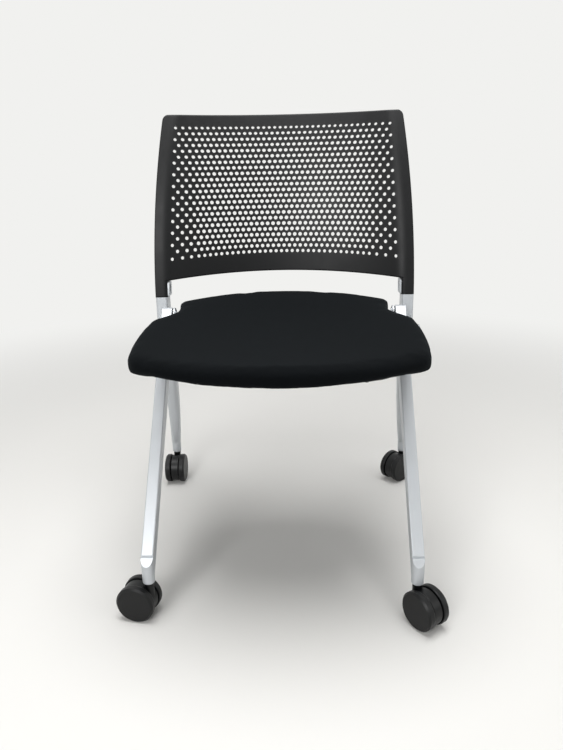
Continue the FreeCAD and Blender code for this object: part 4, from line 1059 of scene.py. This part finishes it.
    def tucked_screws(self, node: str, reach: Sequence[float]) -> bpy.types.Mesh:
        """Copies a group of screws, each moved whole to where its hole in the layers went."""
        shape = bmesh.new()
        shape.from_mesh(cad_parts[node].data)
        bmesh.ops.remove_doubles(shape, verts=shape.verts, dist=1e-6)
        waiting = set(shape.verts)
        while waiting:
            screw = {waiting.pop()}
            fresh = list(screw)
            while fresh:
                vert = fresh.pop()
                for edge in vert.link_edges:
                    other = edge.other_vert(vert)
                    if other not in screw:
                        screw.add(other)
                        fresh.append(other)
            waiting -= screw
            middle = sum((vert.co for vert in screw), Vector()) / len(screw)
            move = self.tuck(middle, reach) - middle
            bmesh.ops.translate(shape, verts=list(screw), vec=move)
        return mesh_from(shape, node, 35.0)

    def build(self, palette: Palette) -> None:
        mesh = self.swollen()
        mesh.shade_smooth()
        pad = piece_from("seat_pad", mesh, palette.get("cloth"), Body.SEAT.value,
                         ["seat_cushion"])
        reach = self.board_reach()
        for node, name, slot in (("seat_board", "board_under_pad", "plywood"),
                                 ("seat_pan", "pan_under_board", "pan_plastic")):
            piece_from(name, self.tucked_layer(node, reach), palette.get(slot),
                       Body.SEAT.value, [node])
        piece_from("screws_in_pan", self.tucked_screws("pan_screws", reach), palette.get("black_steel"),
                   Body.SEAT.value, ["pan_screws"])


# ---------------------------------------------------------------- carried-over nodes

@dataclass
class FrameParts:
    """Nodes of the frame whose shape stays, each with its finish."""

    finishes: dict[str, str] = field(default_factory=lambda: {
        # The cross tube's darker silver is painted shade
        "front_leg": "silver_coat", "rear_frame": "silver_coat", "cross_tube": "silver_tube",
        "tube_plugs": "aluminium", "tube_bolts": "steel", "lug_bolts": "steel", "pivot_pins": "steel",
        "pivot_clips": "steel", "back_screws": "black_steel", "caster_sockets": "nylon",
        "caster_stems": "steel", "seat_board": "plywood", "seat_pan": "pan_plastic",
        "hinge_bracket": "silver_coat", "hinge_bushes": "nylon", "pan_screws": "black_steel",
        "bracket_screws": "black_steel", "rest_pads": "rubber", "hood": "hood_plastic", "axle": "steel",
        "wheel": "wheel_plastic"})

    def build(self, palette: Palette) -> None:
        """Gives each node of the frame its finish."""
        for name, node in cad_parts.items():
            for part, finish in self.finishes.items():
                if part in name:
                    node.data.materials.clear()
                    node.data.materials.append(palette.get(finish))
                    break


# ---------------------------------------------------------------- studio

@dataclass
class Studio:
    """Camera, lamps, floor and backdrop. Places are in metres."""

    eye: tuple[float, float, float] = (0.0389, -1.1159, 0.700)
    heading: tuple[float, float] = (-0.0384, 0.9993)
    pitch_deg: float = 18.08
    roll_deg: float = -1.16
    lens_mm: float = 40.457
    sensor_mm: float = 36.0
    lamps: tuple[tuple[str, tuple[float, float, float], tuple[float, float, float], float, float], ...] = (
        ("ceiling", (0.0, -0.2, 2.6), (0.0, 0.0, 0.4), 2.0, 60.0),
        ("front_window", (-0.9, -2.4, 1.5), (0.0, 0.0, 0.35), 1.2, 30.0),
        ("right_fill", (2.3, -1.0, 1.5), (0.0, 0.0, 0.5), 1.6, 7.0),
    )

    def camera(self) -> None:
        """Places the camera at the photograph's viewpoint."""
        pitch, roll = math.radians(self.pitch_deg), math.radians(self.roll_deg)
        ahead = Vector((self.heading[0], self.heading[1], 0)).normalized()
        right = ahead.cross(Vector((0, 0, 1)))
        look = ahead * math.cos(pitch) - Vector((0, 0, 1)) * math.sin(pitch)
        up = right.cross(look)
        tilted_right = right * math.cos(roll) + up * math.sin(roll)
        tilted_up = up * math.cos(roll) - right * math.sin(roll)
        data = bpy.data.cameras.new("camera")
        data.sensor_fit = "HORIZONTAL"
        data.sensor_width = self.sensor_mm
        data.lens = self.lens_mm
        data.clip_start = 0.01
        view = linked("camera", data)
        turn = Matrix((tilted_right, tilted_up, -look)).transposed().to_4x4()
        view.matrix_world = Matrix.Translation(self.eye) @ turn
        bpy.context.scene.camera = view

    def lights(self) -> None:
        """Hangs the soft lamps."""
        for name, place, target, size, watts in self.lamps:
            data = bpy.data.lights.new(name, "AREA")
            data.shape = "DISK"
            data.size = size
            data.energy = watts
            lamp = linked(name, data)
            aim = Vector(target) - Vector(place)
            lamp.matrix_world = Matrix.Translation(place) @ aim.to_track_quat("-Z", "Y").to_matrix().to_4x4()

    pale: str = "#F1F1EF"
    room_light: float = 0.22
    fade_from: float = 0.6
    fade_to: float = 2.2
    floor_radius: float = 30.0

    @staticmethod
    def seen(tree: bpy.types.NodeTree) -> Any:
        """Adds a socket that is one for rays from the camera, in mirrors and through clear walls."""
        path = add_node(tree, "ShaderNodeLightPath").outputs
        total = path["Is Camera Ray"]
        for kind in ("Is Glossy Ray", "Is Transmission Ray"):
            total = arithmetic(tree, "MAXIMUM", total, path[kind])
        return total

    def backdrop_material(self) -> bpy.types.Material:
        """Pale studio floor that keeps the chair's shadow and fades into the backdrop's colour."""
        material, tree, output = new_tree("studio_floor")
        surface = add_node(tree, "ShaderNodeBsdfPrincipled", None,
                           {"Base Color": linear("#E9E8E5"), "Roughness": 0.7, "Specular IOR Level": 0.2})
        glow = add_node(tree, "ShaderNodeEmission", None, {"Color": linear(self.pale), "Strength": 1.0})
        place = add_node(tree, "ShaderNodeTexCoord").outputs["Object"]
        reach = add_node(tree, "ShaderNodeVectorMath", {"operation": "LENGTH"}, {0: place})
        fade = add_node(tree, "ShaderNodeMapRange", {"interpolation_type": "SMOOTHSTEP"},
                        {"Value": reach.outputs["Value"], "From Min": self.fade_from,
                         "From Max": self.fade_to})
        share = arithmetic(tree, "MULTIPLY", fade.outputs["Result"], self.seen(tree))
        mixed = add_node(tree, "ShaderNodeMixShader", None,
                         {0: share, 1: surface.outputs[0], 2: glow.outputs[0]})
        tree.links.new(mixed.outputs[0], output.inputs["Surface"])
        return material

    def floor(self) -> None:
        """Lays a wide round floor."""
        shape = bmesh.new()
        bmesh.ops.create_circle(shape, cap_ends=True, segments=96, radius=self.floor_radius)
        bmesh.ops.translate(shape, verts=shape.verts, vec=(0.0, 0.0, -0.0002))
        mesh = mesh_from(shape, "studio_floor", 60.0)
        mesh.materials.append(self.backdrop_material())
        linked("studio_floor", mesh)

    def world(self) -> None:
        """Fills the room with low pale light behind a backdrop of the floor's far colour."""
        world = bpy.data.worlds.new("studio")
        world.use_nodes = True
        tree = world.node_tree
        tree.nodes.clear()
        output = add_node(tree, "ShaderNodeOutputWorld")
        strength = add_node(tree, "ShaderNodeMapRange", None,
                            {"Value": self.seen(tree), "To Min": self.room_light, "To Max": 1.0})
        light = add_node(tree, "ShaderNodeBackground", None,
                         {"Color": linear(self.pale), "Strength": strength.outputs["Result"]})
        tree.links.new(light.outputs[0], output.inputs["Surface"])
        bpy.context.scene.world = world

    def build(self) -> None:
        """Sets up the whole studio."""
        self.camera()
        self.lights()
        self.floor()
        self.world()
        bpy.context.scene.view_settings.view_transform = "Standard"


def main() -> None:
    """Dresses the frame."""
    logging.basicConfig(level=logging.INFO, format="%(name)s %(message)s")
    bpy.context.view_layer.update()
    palette = Palette()
    Studio().build()
    FrameParts().build(palette)
    Backrest().build(palette)
    Seat().build(palette)


if __name__ == "__main__":
    main()
